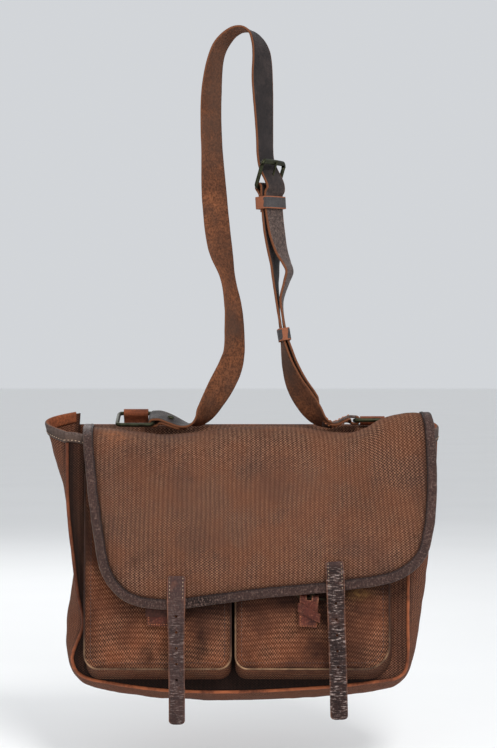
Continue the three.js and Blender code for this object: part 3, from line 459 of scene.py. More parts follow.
# The shoulder strap: smooth dark grain on one face, napped suede on the other, raw cut edges between.
def strapFinish(name, look):
    own = Finish(name, {"Roughness": 0.6, "Specular IOR Level": 0.16})
    side, wear = own.value("side"), own.value("wear")
    grainShare, suedeShare = side.ramp(0.45, 0.75), (side * -1.0).ramp(0.45, 0.75)
    fibre = own.cloud(950, 3, 0.8)
    nap = own.cloud(30, 5, 0.65).ramp(0.34, 0.66)
    grime = own.cloud(14, 4, 0.6).ramp(0.44, 0.66)
    rub = own.cloud(26, 4, 0.65).ramp(0.42, 0.66)
    cells = own.cells(520.0, 0.1)
    tuft = own.cloud(420, 3, 0.8).ramp(0.36, 0.64)
    pebble = own.cloud(380, 3, 0.8).ramp(0.38, 0.66)
    suede = own.coats(look["suede"], (nap, look["suedeWorn"]), (tuft * 0.75, look["suedeDark"]),
                      (grime * 0.7, look["suedeGrime"]))
    smooth = own.coats(look["grain"], (rub, look["grainWorn"]), (wear * 0.75, look["pebbleDark"]),
                       (wear * pebble, look["pebble"]), ((1.0 - cells) * 0.4, look["grainPit"]))
    ground = own.coats(look["edge"], (fibre, look["edgeWorn"]), (suedeShare, suede), (grainShare, smooth))
    roughness = grainShare * (rub * -0.18 - 0.26) + 0.88
    return own.done(ground, fibre * 0.6 + cells * 0.4, 0.6, 0.5, roughness)


# Old brass: dark patina, brighter where it is rubbed.
def brassFinish(name, look):
    own = Finish(name, {"Roughness": 0.5, "Metallic": 1.0})
    film = own.cloud(130, 4, 0.65).ramp(0.3, 0.7)
    speck = own.cloud(480, 3, 0.7).ramp(0.52, 0.66)
    rubbed = own.value("wear") * own.cloud(90, 3).ramp(0.5, 0.75)
    ground = own.coats(look["dark"], (film, look["green"]), (speck * 0.6, look["spot"]),
                       (rubbed, look["bright"]))
    return own.done(ground, own.cloud(600, 3, 0.7), 0.25, 0.3, film * 0.25 + 0.4)


# Twisted thread
def threadFinish(name, light, dark):
    own = Finish(name, {"Roughness": 0.8, "Sheen Weight": 0.1})
    ground = own.coats(light, (own.cloud(160, 3).ramp(0.3, 0.7), dark))
    return own.done(ground, own.cloud(2600, 2), 0.5, 0.2)


# The soil tones and depths paint soil and also painted shade; the body's deep one darkens the recesses
# round the pockets and under the flap.
canvasBase = dict(
    soilAndShadeDepth=0.75, ribPitch=4.5, ribDrift=4.0, ribDepth=0.6, ribRise=0.6, warpShare=1.4, yarnPitch=2.55)
canvasLooks = {
    "flap": canvasBase | dict(
        base=(92, 58, 42), faded=(101, 72, 60), warm=(113, 65, 40), groove=(49, 28, 21),
        fleck=(176, 130, 102), stain=(56, 43, 40), soilAndShade=(35, 21, 18), bare=(164, 100, 62),
        weaveDepth=0.95, patchScale=9.0, stainScale=13.0, stainFrom=0.47, stainDepth=0.3),
    "body": canvasBase | dict(
        base=(105, 68, 53), faded=(116, 79, 63), warm=(112, 63, 43), groove=(38, 21, 16),
        fleck=(156, 106, 81), stain=(56, 35, 28), soilAndShade=(17, 13, 12), bare=(150, 92, 60),
        soilAndShadeDepth=0.92, ribPitch=4.3, ribDepth=0.36, ribRise=0.5,
        weaveDepth=0.85, patchScale=6.0, stainScale=6.0, stainFrom=0.56, stainDepth=0.45),
    "pocket": canvasBase | dict(
        base=(107, 64, 44), faded=(113, 76, 58), warm=(136, 71, 40), groove=(42, 24, 18),
        fleck=(186, 128, 95), stain=(44, 31, 28), soilAndShade=(28, 17, 15), bare=(166, 122, 72),
        ribPitch=5.0, warpShare=1.45,
        weaveDepth=0.9, patchScale=12.0, stainScale=15.0, stainFrom=0.48, stainDepth=0.5),
}
leatherBase = dict(
    grainScale=520.0, mottleScale=90.0, scuffScale=70.0, scuffFrom=0.5, scuffDepth=0.7, edgeDepth=0.9,
    speckDepth=0.4, gloss=0.2, bump=1.0)
leatherLooks = {
    "binding": leatherBase | dict(
        base=(63, 43, 38), second=(79, 54, 47), pit=(18, 11, 9), scuff=(112, 58, 42), edge=(176, 152, 134),
        speck=(138, 110, 100), ridge=(168, 140, 128), mottleScale=40.0, scuffScale=22.0, scuffFrom=0.58,
        scuffDepth=0.75, roughness=0.46, speckDepth=0.42, gloss=0.22, foldScale=620.0, foldStretch=0.6,
        ridgeHighlightDepth=0.6),
    "closure": leatherBase | dict(
        base=(64, 42, 38), second=(78, 51, 45), pit=(24, 15, 14), scuff=(108, 66, 50), edge=(150, 96, 70),
        speck=(116, 92, 84), ridge=(184, 166, 158), grainScale=440.0, mottleScale=46.0, scuffFrom=0.56,
        scuffDepth=0.5, edgeDepth=0.75, roughness=0.34, speckDepth=0.35, gloss=0.28, foldScale=640.0,
        foldStretch=0.2, ridgeHighlightDepth=0.85),
    "tan": leatherBase | dict(
        base=(97, 52, 35), second=(115, 63, 40), pit=(54, 30, 21), scuff=(74, 42, 31), edge=(186, 106, 67),
        speck=(60, 34, 26), grainScale=620.0, mottleScale=60.0, scuffScale=34.0, scuffFrom=0.52,
        scuffDepth=0.75, edgeDepth=0.8, roughness=0.62, bump=0.6),
    "pale": leatherBase | dict(
        base=(56, 37, 29), second=(70, 46, 35), pit=(34, 22, 18), scuff=(46, 31, 25), edge=(196, 154, 116),
        speck=(50, 34, 28), grainScale=620.0, mottleScale=70.0, scuffScale=30.0, edgeDepth=0.95,
        roughness=0.66, bump=0.6, gloss=0.15),
    "red": leatherBase | dict(
        base=(80, 37, 28), second=(100, 49, 37), pit=(34, 17, 13), scuff=(52, 27, 22), edge=(186, 122, 90),
        speck=(138, 84, 64), grainScale=420.0, roughness=0.44, speckDepth=0.5),
    "band": leatherBase | dict(
        base=(58, 34, 28), second=(72, 40, 32), pit=(26, 16, 14), scuff=(40, 25, 22), edge=(122, 74, 54),
        speck=(92, 58, 46), grainScale=420.0, scuffDepth=0.6, edgeDepth=0.5, roughness=0.5, bump=0.9,
        speckDepth=0.3, gloss=0.15),
    "tab": leatherBase | dict(
        base=(118, 62, 38), second=(138, 74, 46), pit=(60, 33, 23), scuff=(86, 46, 32), edge=(176, 104, 66),
        speck=(70, 40, 28), mottleScale=120.0, scuffScale=80.0, edgeDepth=0.6, roughness=0.66, bump=0.9,
        speckDepth=0.6),
}
strapTones = dict(
    suede=(99, 62, 43), suedeWorn=(136, 84, 55), suedeDark=(56, 34, 24), suedeGrime=(76, 56, 46),
    pebble=(112, 94, 86), pebbleDark=(66, 52, 47), edge=(128, 78, 50), edgeWorn=(90, 56, 39),
    grain=(38, 34, 34), grainWorn=(59, 50, 48), grainPit=(17, 15, 15))
mouthTones = strapTones | dict(
    suede=(128, 70, 44), suedeWorn=(160, 88, 54), suedeDark=(84, 46, 30), suedeGrime=(96, 56, 38),
    grain=(66, 52, 46), grainWorn=(86, 68, 59), grainPit=(34, 26, 23))
keeperTones = strapTones | dict(
    edge=(126, 74, 51), edgeWorn=(156, 100, 74), grain=(58, 55, 56), grainWorn=(78, 74, 74),
    grainPit=(30, 28, 28), pebble=(104, 96, 92), pebbleDark=(62, 56, 54))
brassTones = dict(dark=(45, 45, 35), green=(71, 73, 54), spot=(31, 30, 24), bright=(122, 106, 70))
dullTones = brassTones | dict(dark=(38, 31, 24), green=(58, 50, 38))

canvas = {key: canvasFinish(key + "Canvas", look) for key, look in canvasLooks.items()}
leather = {key: leatherFinish(key + "Leather", look) for key, look in leatherLooks.items()}
strapLeather = strapFinish("strapLeather", strapTones)
keeperLeather = strapFinish("keeperLeather", keeperTones)
mouthLeather = strapFinish("mouthLeather", mouthTones)
brass = brassFinish("oldBrass", brassTones)
dullBrass = brassFinish("dullBrass", dullTones)
paleThread = threadFinish("paleThread", (190, 164, 138), (146, 114, 90))
darkThread = threadFinish("darkThread", (70, 48, 40), (40, 28, 24))
brownThread = threadFinish("brownThread", (128, 92, 68), (98, 68, 50))
orangeThread = threadFinish("orangeThread", (196, 124, 74), (160, 88, 50))
print("finishes made")

# Body of the bag: gusset, back, front and the piping between them
bodyRows = table(("frontX", "frontZ", "backX", "backZ", "bulge"), [
    (-174, -408, -168, -389, 27),
    (-174, -440, -170, -420, 17.5),
    (-173, -482, -172, -470, 4.5),
    (-168, -530, -172.5, -530, -1),
    (-163.5, -566, -174, -568, 4),
    (-158.5, -597, -175, -604, 11),
    (-169, -629, -172, -640, 6),
    (-160, -647, -160, -664, 4),
    (-130, -655, -132, -674, 4),
    (-75, -662, -75, -681, 3),
    (-5, -663.5, -5, -684, 3),
    (80, -659, 83, -680, 3),
    (128, -654, 132, -674, 4),
    (154, -649, 159, -664, 4),
    (163, -634, 169, -640, 5),
    (163.5, -592, 171, -595, 12),
    (164, -545, 172, -545, 17),
    (166, -490, 172, -485, 21),
    (168, -448, 172, -435, 24),
    (168, -412, 172, -394, 26),
])
bodyLook = dict(
    wall=1.8, back=18.0, front=-57.4, depth=74.0, seamRoom=1.05, backMargin=1.2, frontMargin=1.7,
    mouthSag=20.0, backTop=-400.5, pipeRadius=2.2, pipeShown=1.75, gussetRows=300, gussetColumns=44,
    wrinkle=1.1, panelCells=(70, 90), outlineSteps=900)
body = {name: reader(column) for name, column in bodyRows.items()}
bodyLast = len(bodyRows["bulge"]) - 1
backMiddle = bodyLook["back"] - bodyLook["wall"] / 2
frontMiddle = bodyLook["front"] + bodyLook["wall"] / 2
backSeam = bodyLook["back"] - bodyLook["wall"] - bodyLook["seamRoom"]
frontSeam = frontMiddle + bodyLook["pipeRadius"] + bodyLook["seamRoom"]


# X and Z of the front or back seam at rows of the table.
def seamAt(side, t):
    return np.stack([body[side + "X"](t), body[side + "Z"](t)], axis=-1)


def seamRun(side, t, step):
    return seamAt(side, t + step) - seamAt(side, t - step)


# A point of the gusset: t in rows of the table, v from the back seam to the front seam.
def gussetPoint(t, v):
    inside = np.clip(t, 0.05, bodyLast - 0.05)
    run = seamRun("front", inside, 0.05) + seamRun("back", inside, 0.05)
    outward = unit(upright(run[..., ::-1] * [1, -1], 0.0))
    flat = seamAt("back", t) * (1 - v)[..., None] + seamAt("front", t) * v[..., None]
    bulge = body["bulge"](t) * np.sin(np.pi * v)
    return upright(flat, backSeam * (1 - v) + frontSeam * v) + outward * bulge[..., None]


# The outline of the body on one side, moved out by a margin.
def bodyOutline(side, margin, number=bodyLook["outlineSteps"]):
    t = np.linspace(0, bodyLast, number)
    return seamAt(side, t) + unit(seamRun(side, t, 0.02))[:, ::-1] * [margin, -margin]


# The outline of the back below a height: its top edge is lower than the gusset's ends.
def backOutline(margin, top):
    line = bodyOutline("back", margin)
    line = line[line[:, 1] <= top]
    line[0, 1] = line[-1, 1] = top
    return line


# A panel of cloth inside a U outline, slack between its seams and soiled beside them.
def panelGrid(outline, y, slack, seed, mouthSag=0.0):
    side, bottom = bodyLook["panelCells"]
    corners = [0, np.argmin(outline @ [1, 1.6]), np.argmin(outline @ [-1, 1.6]), len(outline) - 1]
    runs = [outline[a : b + 1] for a, b in zip(corners, corners[1:])]
    flat = fillU(joinRuns(runs, (side, bottom, side)), side, bottom)
    f, g = np.linspace(0, 1, bottom + 1)[None], np.linspace(0, 1, side + 1)[:, None]
    flat[..., 1] -= mouthSag * smoothStep(f, 0, 0.2) * smoothStep(1 - f, 0, 0.2) * (1 - g) ** 2
    hold = np.sin(np.pi * f) ** 0.5 * smoothStep(1 - g, 0, 0.12)
    grid = upright(flat, y)
    grid[..., 1] += hold * (slack + lumps(grid, 60, seed) * slack + lumps(grid, 19, seed + 1) * 0.5)
    soilAndShade = 1 - np.minimum(smoothStep(np.minimum(f, 1 - f), 0, 0.07), smoothStep(1 - g, 0, 0.08))
    return grid, flat, soilAndShade


def bodyCloth(name, node, grid, uv, values):
    cloth = wallObject(name, grid, bodyLook["wall"], uv, values)
    finishPiece(cloth, canvas["body"], [node])


t, v = np.meshgrid(np.linspace(0, bodyLast, bodyLook["gussetRows"]),
                   np.linspace(0, 1, bodyLook["gussetColumns"]), indexing="ij")
grid = gussetPoint(t, v)
hold = np.sin(np.pi * v) * smoothStep(t, 0, 0.6) * smoothStep(bodyLast - t, 0, 0.6)
ruck = lumps(grid * [1, 1, 0.5], 22, 3) * 1.6 + lumps(grid * [1, 1, 0.7], 9, 4) * 0.6
grid = grid + gridNormals(grid) * (ruck * hold * bodyLook["wrinkle"])[..., None]
reach = reachAlong(grid[:, bodyLook["gussetColumns"] // 2])
uv = np.stack([v * bodyLook["depth"], np.broadcast_to(reach[:, None], v.shape)], axis=-1)
soilAndShade = 0.8 * (smoothStep(v, 0.9, 1) + smoothStep(1 - v, 0.92, 1))
bodyCloth("gusset_cloth", "gusset", grid, uv, {"soilAndShade": soilAndShade})

# The back hangs a little slack between its seams, and is rubbed in use, most of all low down.
backGrid, uv, soilAndShade = panelGrid(backOutline(bodyLook["backMargin"], bodyLook["backTop"]), backMiddle, 0.8, 7)
g, f = (np.linspace(0, 1, number + 1) for number in bodyLook["panelCells"])
held = (smoothStep(g, 0.06, 0.3) * smoothStep(1 - g, 0.04, 0.2))[:, None]
held = held * smoothStep(np.minimum(f, 1 - f), 0.03, 0.2)
swell = 2.2 * lumps(backGrid * [1, 1, 0.6], 70, 17) + 0.8 * lumps(backGrid * [1, 1, 0.5], 26, 18)
backGrid[..., 1] += held * (swell - 2.4)
rubbed = 0.45 * smoothStep(lumps(backGrid, 55, 15), 0.0, 0.5)
rubbed += 0.35 * smoothStep(-backGrid[..., 2], 600, 670)
bodyCloth("back_cloth", "back_panel", backGrid, uv, {"soilAndShade": soilAndShade * 0.6, "rubbed": rubbed})

# Painted shade lies thick on the front where the flap and the pockets shade it, over its darker seam edges,
# which are kept lighter on the right, where light falls into the recess there.
frontGrid, uv, soilAndShade = panelGrid(bodyOutline("front", -bodyLook["frontMargin"], 400), frontMiddle, 0.6, 9,
                                bodyLook["mouthSag"])
x = frontGrid[..., 0]
shaded = 0.15 + 0.85 * smoothStep(x, -171, -153) * smoothStep(146 - x, 0, 20)
soilAndShade = soilAndShade * (1 - 0.55 * smoothStep(x, 120, 146))
bodyCloth("front_cloth", "front_panel", frontGrid, uv, {"soilAndShade": np.maximum(soilAndShade, shaded)})


# A cord of leather along a line, with small folds in its skin, paler on its front by a share: rubbed wear
# with a painted highlight.
def pipeObject(name, line, radius, sides, seed, rubbed):
    tangent = unit(np.gradient(line, axis=0))
    out = unit(np.cross(tangent, np.array([0, 1.0, 0])))
    over = np.cross(out, tangent)
    angle = np.linspace(0, 2 * np.pi, sides, endpoint=False)[None, :, None]
    fat = 1 + 0.09 * lumps(line, 9, seed) + 0.05 * lumps(line, 3.5, seed + 1)
    ring = out[:, None] * np.cos(angle) + over[:, None] * np.sin(angle)
    sections = line[:, None] + ring * (radius * fat)[:, None, None]
    across = np.linspace(0, 2 * np.pi * radius, sides + 1)
    wear = smoothStep(-ring[..., 1] + 0.35 * lumps(sections, 6, seed + 2), -0.1, 0.8)
    wear = wear * np.clip(rubbed, 0, 1)[:, None]
    return sweepObject(name, sections, reachAlong(line), across, {"wear": wear})


pipeLine = upright(evenly(bodyOutline("front", 0), 640)[7:-7], frontMiddle)  # It starts below the mouth.
x, low = pipeLine[:, 0], -pipeLine[:, 2]
# How pale the piping's front is: wear and a painted highlight, more low down and less on the upper left.
rubbed = 0.75 + 0.5 * lumps(pipeLine, 70, 12) + 0.25 * smoothStep(low, 600, 650)
rubbed -= 0.6 * smoothStep(-x, 110, 150) * smoothStep(low, 625, 585)
frontPiping = pipeObject("front_pipe", pipeLine, bodyLook["pipeShown"], 14, 11, rubbed)
finishPiece(frontPiping, leather["tan"], ["front_piping"])


# Leather folded over an edge of cloth. Edge and inner are each a line of points and their normals.
# Rubbed gives how worn its rim is at each place, creased how wrinkled it is.
def foldedBinding(name, edge, outward, inner, wall, look, rubbed=1.0, creased=0.0):
    inside = wall / 2 + look["room"]
    outside = inside + look["leather"]

    def rails(lift, *shares):
        mixes = [[a * (1 - share) + b * share for a, b in zip(edge, inner)] for share in shares]
        return [line + unit(normal) * lift for line, normal in mixes]

    def turns(reach, lift, *angles):
        line, normal = edge
        return [line + outward * (reach * math.cos(a)) + normal * (lift * math.sin(a))
                for a in np.radians(angles)]

    sections = np.stack(
        rails(outside, 1.0, 0.8, 0.5, 0.2)
        + turns(look["overhang"], outside, 75, 50, 25, 0, -25, -50, -75)
        + rails(-outside, 0.2, 0.5, 0.8, 1.0)
        + rails(-inside, 1.0, 0.5, 0.1)
        + turns(look["overhang"] - look["leather"], inside, -60, 0, 60)
        + rails(inside, 0.1, 0.5, 1.0), axis=1)
    across = np.append(reachAlong(sections[len(sections) // 2]), 60)
    # Values for each point of a section: the lip, the turn and what lies behind it.
    rim = np.array([0, 0, 0, 0.5] + [0.8, 1, 1, 1, 0.7, 0.25, 0.05] + [0] * 13)
    # Groove marks the lips, where the finish paints a thin line of shade.
    groove = np.array([1] + [0] * 13 + [1, 1] + [0] * 7 + [1])
    side = np.array([1] * 6 + [0.8, 0, -0.8] + [-1] * 15)
    everywhere = np.ones(sections.shape[:2])
    rubbed, creased = (np.reshape(share, (-1, 1)) for share in (rubbed, creased))
    values = {"wear": rubbed * rim * everywhere, "side": side * everywhere,
              "creases": creased * everywhere, "groove": groove * everywhere}
    return sweepObject(name, sections, reachAlong(edge[0]), across, values)


# The bound mouth: leather over the top edges of the gusset and the front, suede inside
mouthLook = dict(leather=1.1, room=0.15, overhang=2.2, depth=0.3, number=90, inset=0.24,
                 width=8.0, lead=4.0)
mouthRise = bodyLook["wall"] / 2 + mouthLook["room"] + mouthLook["leather"]
mouthSewn = []
v = np.linspace(0.05, 1.0, mouthLook["number"])
shown = v > 0.5  # The stitches show on the outside, towards the front.


# Points and outward normals across the gusset at a row.
def mouthFrame(row, step=0.02):
    t = np.full_like(v, row)
    along = gussetPoint(t + step, v) - gussetPoint(t - step, v)
    normal = unit(np.cross(gussetPoint(t, v + step) - gussetPoint(t, v - step), along))
    return gussetPoint(t, v), normal * np.sign(normal[:, 0].mean() * (row - bodyLast / 2))


for side, edgeRow, way in (("left", 0.0, 1), ("right", bodyLast, -1)):
    edge, inner = mouthFrame(edgeRow), mouthFrame(edgeRow + way * mouthLook["depth"])
    binding = foldedBinding("mouth_binding_" + side, edge, unit(edge[0] - inner[0]), inner,
                            bodyLook["wall"], mouthLook)
    finishPiece(binding, mouthLeather, ["gusset_binding_" + side])
    line, normal = mouthFrame(edgeRow + way * mouthLook["depth"] * (1 - mouthLook["inset"]))
    mouthSewn.append((line[shown] + normal[shown] * mouthRise, normal[shown]))

lead, down = np.array([mouthLook["lead"], 0, 0]), np.array([0, 0, mouthLook["width"]])
line = evenly(np.vstack([frontGrid[0, 0] - lead, frontGrid[0], frontGrid[0, -1] + lead]), 260)
forward = np.tile([0, -1.0, 0], (len(line), 1))
binding = foldedBinding("mouth_binding_front", (line, forward), unit(down), (line - down, forward),
                        bodyLook["wall"], mouthLook)
finishPiece(binding, mouthLeather, [])
mouthSewn.append((line - down * (1 - mouthLook["inset"]) + forward * mouthRise, forward))
print("body made")

# The two pockets. Spots are x and z, their reach in both, and a share.
# Dark spots on the pockets are partly stains and partly painted shadow: in the vertical folds, under the
# flap's left edge and round the buckle tabs, keeper and strap.
pocketSides = {
    "left": dict(
        left=-155.0, right=-11.8, radiusLeft=14.0, radiusRight=12.0, spreadLeft=-1.0, spreadRight=0.0,
        rubbed=[(-24, -633, 20, 12, 0.8), (-146, -628, 16, 14, 0.7), (-85, -637, 60, 6, 0.4)],
        darkSpots=[(-41, -607, 8, 28, 0.9), (-93, -627, 8, 14, 0.8), (-150, -600, 10, 34, 0.7),
                 (-24, -588, 10, 20, 0.45), (-116, -590, 14, 12, 0.4)],
        bare=[]),
    "right": dict(
        left=-7.0, right=143.5, radiusLeft=12.0, radiusRight=24.0, spreadLeft=0.0, spreadRight=3.0,
        rubbed=[(-7, -595, 8, 40, 0.45), (1, -632, 13, 12, 0.9), (45, -637, 60, 6, 0.55),
                (134, -626, 18, 18, 0.8)],
        darkSpots=[(73, -616, 12, 20, 0.9), (43, -570, 12, 11, 0.7), (80, -584, 9, 20, 0.9),
                 (111, -580, 13, 11, 0.55), (12, -618, 14, 10, 0.4)],
        bare=[(113, -564, 11, 5, 0.9)]),
}
# Where the flap's edge crosses the pockets, for the painted shade below it.
pocketShade = table(("x", "z"), [
    (-154, -520), (-138, -537), (-127, -557), (-110, -570), (-74, -576), (-32, -571.5), (24, -564.5),
    (84, -559), (144, -550),
])
pocketLook = dict(
    mouth=-447.0, bottom=-637.0, mouthY=-65.0, bottomY=-79.0, crown=3.5, drop=13.0, wall=1.8,
    pipeRadius=1.6, pipeShown=1.1, pipeRoom=0.3, faceInset=0.7, wallRoom=0.9, sideCells=76,
    bottomCells=84, arcCells=8, stripCells=16, stripWidth=22.0, ruck=1.2)


# A pocket's U outline: straight sides and bottom joined by quarter rounds.
def pocketOutline(pocket, inset=0.0, drop=0.0, spread=0.0):
    left = pocket["left"] + inset - spread * pocket["spreadLeft"]
    right = pocket["right"] - inset + spread * pocket["spreadRight"]
    top, bottom = pocketLook["mouth"], pocketLook["bottom"] + inset - drop
    a, b = pocket["radiusLeft"] - inset, pocket["radiusRight"] - inset
    arcs = pocketLook["arcCells"] * 2
    turn = np.linspace(0, np.pi / 2, arcs + 1)
    down = np.linspace(0, 1, pocketLook["sideCells"] - pocketLook["arcCells"], endpoint=False)
    flat = np.linspace(left + a, right - b, pocketLook["bottomCells"] - arcs + 1)[1:-1]
    x = [left + 0 * down, left + a - a * np.cos(turn), flat, right - b + b * np.sin(turn), right + 0 * down]
    z = [top + (bottom + a - top) * down, bottom + a - a * np.sin(turn), bottom + 0 * flat,
         bottom + b - b * np.cos(turn), (top + (bottom + b - top) * down)[::-1]]
    return np.stack([np.concatenate(x), np.concatenate(z)], axis=-1)


def pocketDown(z):
    return (z - pocketLook["mouth"]) / (pocketLook["bottom"] - pocketLook["mouth"])


def pocketLean(z):
    return pocketLook["mouthY"] + (pocketLook["bottomY"] - pocketLook["mouthY"]) * pocketDown(z)


# A pocket's front leans out towards the bottom and is crowned between its seams.
def pocketFront(pocket, flat):
    across = np.clip((flat[..., 0] - pocket["left"]) / (pocket["right"] - pocket["left"]), 0, 1)
    fall = np.cos(np.clip(pocketDown(flat[..., 1]), 0, 1) * np.pi / 2)
    crown = np.sin(np.pi * across) * np.sqrt(np.clip(fall, 0, 1))
    return upright(flat, pocketLean(flat[..., 1]) - pocketLook["crown"] * crown)


# How strongly a few soft spots mark points.
def spotted(points, spots):
    marks = [share * bell((points[..., 0] - x) / wide, (points[..., 2] - z) / high)
             for x, z, wide, high, share in spots]
    return np.max([np.zeros(points.shape[:-1]), *marks], axis=0)


for side, pocket in pocketSides.items():
    seam = pocketOutline(pocket)
    outline = pocketOutline(pocket, pocketLook["faceInset"])
    flat = fillU(outline, pocketLook["sideCells"], pocketLook["bottomCells"])
    x, z = flat[..., 0], flat[..., 1]
    face = pocketFront(pocket, flat)
    fromSeam = np.minimum(np.minimum(x - pocket["left"], pocket["right"] - x), z - pocketLook["bottom"])
    ruck = lumps(face * [0.6, 1, 1], 17, 21) * 1.3 + lumps(face, 42, 22) * 1.5 + lumps(face, 7, 23) * 0.35
    face[..., 1] += ruck * smoothStep(fromSeam, 0, 26) * pocketLook["ruck"]
    # The cloth map is turned, because the ribs run across the pockets, and they lift a little at the seams.
    ribWay = z + 5 * bell((x - pocket["left"]) / 30) + 9 * bell((x - pocket["right"]) / 45)
    soilAndShade = 0.7 * smoothStep(fromSeam, 8, 0) + 0.35 * smoothStep(lumps(face, 26, 24), 0.1, 0.4)
    # Dark spots: stains, and painted shadow in folds and beside the tabs and straps.
    soilAndShade = np.maximum(soilAndShade, spotted(face, pocket["darkSpots"]) * (1 + 0.5 * lumps(face, 6, 26)))
    # Painted shade where the flap's edge hangs over it.
    under = np.interp(x, pocketShade["x"], pocketShade["z"]) - z
    soilAndShade = soilAndShade + 0.75 * smoothStep(under, -30, -4) * smoothStep(under, 20, 2)
    cloth = wallObject("pocket_cloth_" + side, face, pocketLook["wall"], np.stack([ribWay, x], axis=-1),
                       {"soilAndShade": np.clip(soilAndShade, 0, 1), "rubbed": spotted(face, pocket["bare"])})
    finishPiece(cloth, canvas["pocket"], ["pocket_front_" + side])

    line = evenly(upright(seam, pocketLean(seam[:, 1])), 420)
    # Pale spots on the piping's front: rubbed wear with a painted highlight.
    rubbed = spotted(line, pocket["rubbed"]) * (0.9 + 0.8 * lumps(line, 12, 33))
    pipe = pipeObject("pocket_pipe_" + side, line, pocketLook["pipeShown"], 12, 31, rubbed)
    finishPiece(pipe, leather["pale"], ["pocket_piping_" + side])

    # The strip of cloth between the front's seam and the bag
    v = np.linspace(0, 1, pocketLook["stripCells"])[None]
    near = upright(seam, pocketLean(seam[:, 1]) + pocketLook["pipeRadius"] + pocketLook["pipeRoom"])
    foot = pocketOutline(pocket, 0, pocketLook["drop"], 1.0)
    far = upright(foot, bodyLook["front"] - pocketLook["wallRoom"])
    strip = near[:, None] * (1 - v[..., None]) + far[:, None] * v[..., None]
    sag = np.sin(np.pi * v) * (lumps(strip, 15, 25) * 1.3 - 0.5)
    strip = strip + gridNormals(strip) * sag[..., None]
    uv = np.stack(np.broadcast_arrays(v * pocketLook["stripWidth"], reachAlong(near)[:, None]), axis=-1)
    # The strip darkens towards the bag: painted shade in the recess behind the pocket.
    cloth = wallObject("pocket_side_" + side, strip, pocketLook["wall"], uv,
                       {"soilAndShade": np.broadcast_to(0.35 + 0.55 * v, strip.shape[:2])})
    finishPiece(cloth, canvas["pocket"], ["pocket_gusset_" + side])
print("pockets made")

# The flap, in two parameters: x across and the distance down the cloth from the back seam
flapProfile = table(("y", "z"), [
    (14.6, -402.2), (4, -403), (-16, -402), (-38, -402), (-54, -404.5), (-66, -413.5), (-73, -436),
    (-80.5, -472), (-86, -515), (-89.5, -550), (-91, -600),
])
flapTop = table(("x", "z"), [
    (-165, -402), (-130, -405), (-106, -408), (-78, -410.5), (-45, -408), (-10, -403.5), (25, -403),
    (60, -404), (95, -408.5), (125, -408.5), (150, -406.5), (190, -402),
])
flapLift = table(("x", "z"), [(-170, 0), (95, 0), (122, 5.5), (140, 14.5), (165, 17), (190, 14)])
flapEdge = table(("x", "z"), [
    (-154, -431), (-149, -473), (-143.5, -510), (-138, -537), (-127, -557), (-110, -570), (-74, -576),
    (-32, -571.5), (24, -564.5), (84, -559), (144, -550), (163, -541), (177, -527), (184, -505),
    (188, -473), (188.5, -440),
])
flapLook = dict(
    wall=1.6, seamLeft=-162.0, seamRight=166.0, foldLeft=-158.0, foldRight=184.0, foldDown=58.0,
    frontDown=70.0, cornerLeft=6, cornerRight=14, sideCells=130, bottomCells=150, dip=(0.0, 11.0),
    lift=(46.0, 62.0), fade=(150.0, 66.0), fallDepth=3.0, fallMiddle=15.0, fallAcross=(110.0, 175.0),
    fallDown=(80.0, 160.0), fans=((-78, 0.12), (112, -0.16)),
    darkSpots=((-105, -530, 7, 0.4), (-90, -522, 6, 0.3), (120, -470, 22, 0.2), (-120, -450, 25, 0.2)))
flapBindingLook = dict(leather=1.2, room=0.15, overhang=1.7, width=8.2, number=520, sewn=0.78)

profileKnots = np.stack([flapProfile["y"], flapProfile["z"]], axis=-1)
profileFine = curveThrough(profileKnots)(np.linspace(0, len(profileKnots) - 1, 1200))
profileReach = reachAlong(profileFine)
flapTopZ, flapLiftZ = reader(flapTop["z"], flapTop["x"]), reader(flapLift["z"], flapLift["x"])
flatTop = flapProfile["z"][2]


def flapPoint(x, down):
    y, z = (np.interp(down, profileReach, column) for column in profileFine.T)
    fade = smoothStep(down, *flapLook["fade"])
    dip = (flapTopZ(x) - flatTop) * smoothStep(down, *flapLook["dip"]) * fade
    lift = flapLiftZ(x) * smoothStep(down, *flapLook["lift"]) * fade
    sideways = smoothStep(np.abs(x - flapLook["fallMiddle"]), *flapLook["fallAcross"])
    fall = flapLook["fallDepth"] * sideways * smoothStep(down, *flapLook["fallDown"])
    return np.stack([x + 0 * down, y + fall, z + dip + lift], axis=-1)


# The distance down the cloth at which the front of the flap reaches a height.
def flapDownAt(z):
    front = profileReach >= flapLook["frontDown"]
    return np.interp(-np.asarray(z, float), -profileFine[front, 1], profileReach[front])


# Points and normals of the flap.
def flapFrame(flat, step=0.5):
    x, down = flat[..., 0], np.maximum(flat[..., 1], 0)
    along = flapPoint(x, down + step) - flapPoint(x, np.maximum(down - step, 0))
    sideways = flapPoint(x + step, down) - flapPoint(x - step, down)
    return flapPoint(x, down), unit(np.cross(sideways, along))


edgeKnots = np.array([
    (flapLook["seamLeft"], 0), (flapLook["foldLeft"], flapLook["foldDown"]),
    *zip(flapEdge["x"], flapDownAt(flapEdge["z"])),
    (flapLook["foldRight"], flapLook["foldDown"]), (flapLook["seamRight"], 0)])
edgeCurve = curveThrough(edgeKnots)
edgeStops = (0, flapLook["cornerLeft"], flapLook["cornerRight"], len(edgeKnots) - 1)
sideCells, bottomCells = flapLook["sideCells"], flapLook["bottomCells"]
edgeRuns = [edgeCurve(np.linspace(a, b, 800)) for a, b in zip(edgeStops, edgeStops[1:])]
flapOutline = joinRuns(edgeRuns, (sideCells, bottomCells, sideCells))
flapFlat = fillU(flapOutline, sideCells, bottomCells)
x, down = flapFlat[..., 0], flapFlat[..., 1]
grid, normals = flapFrame(flapFlat)

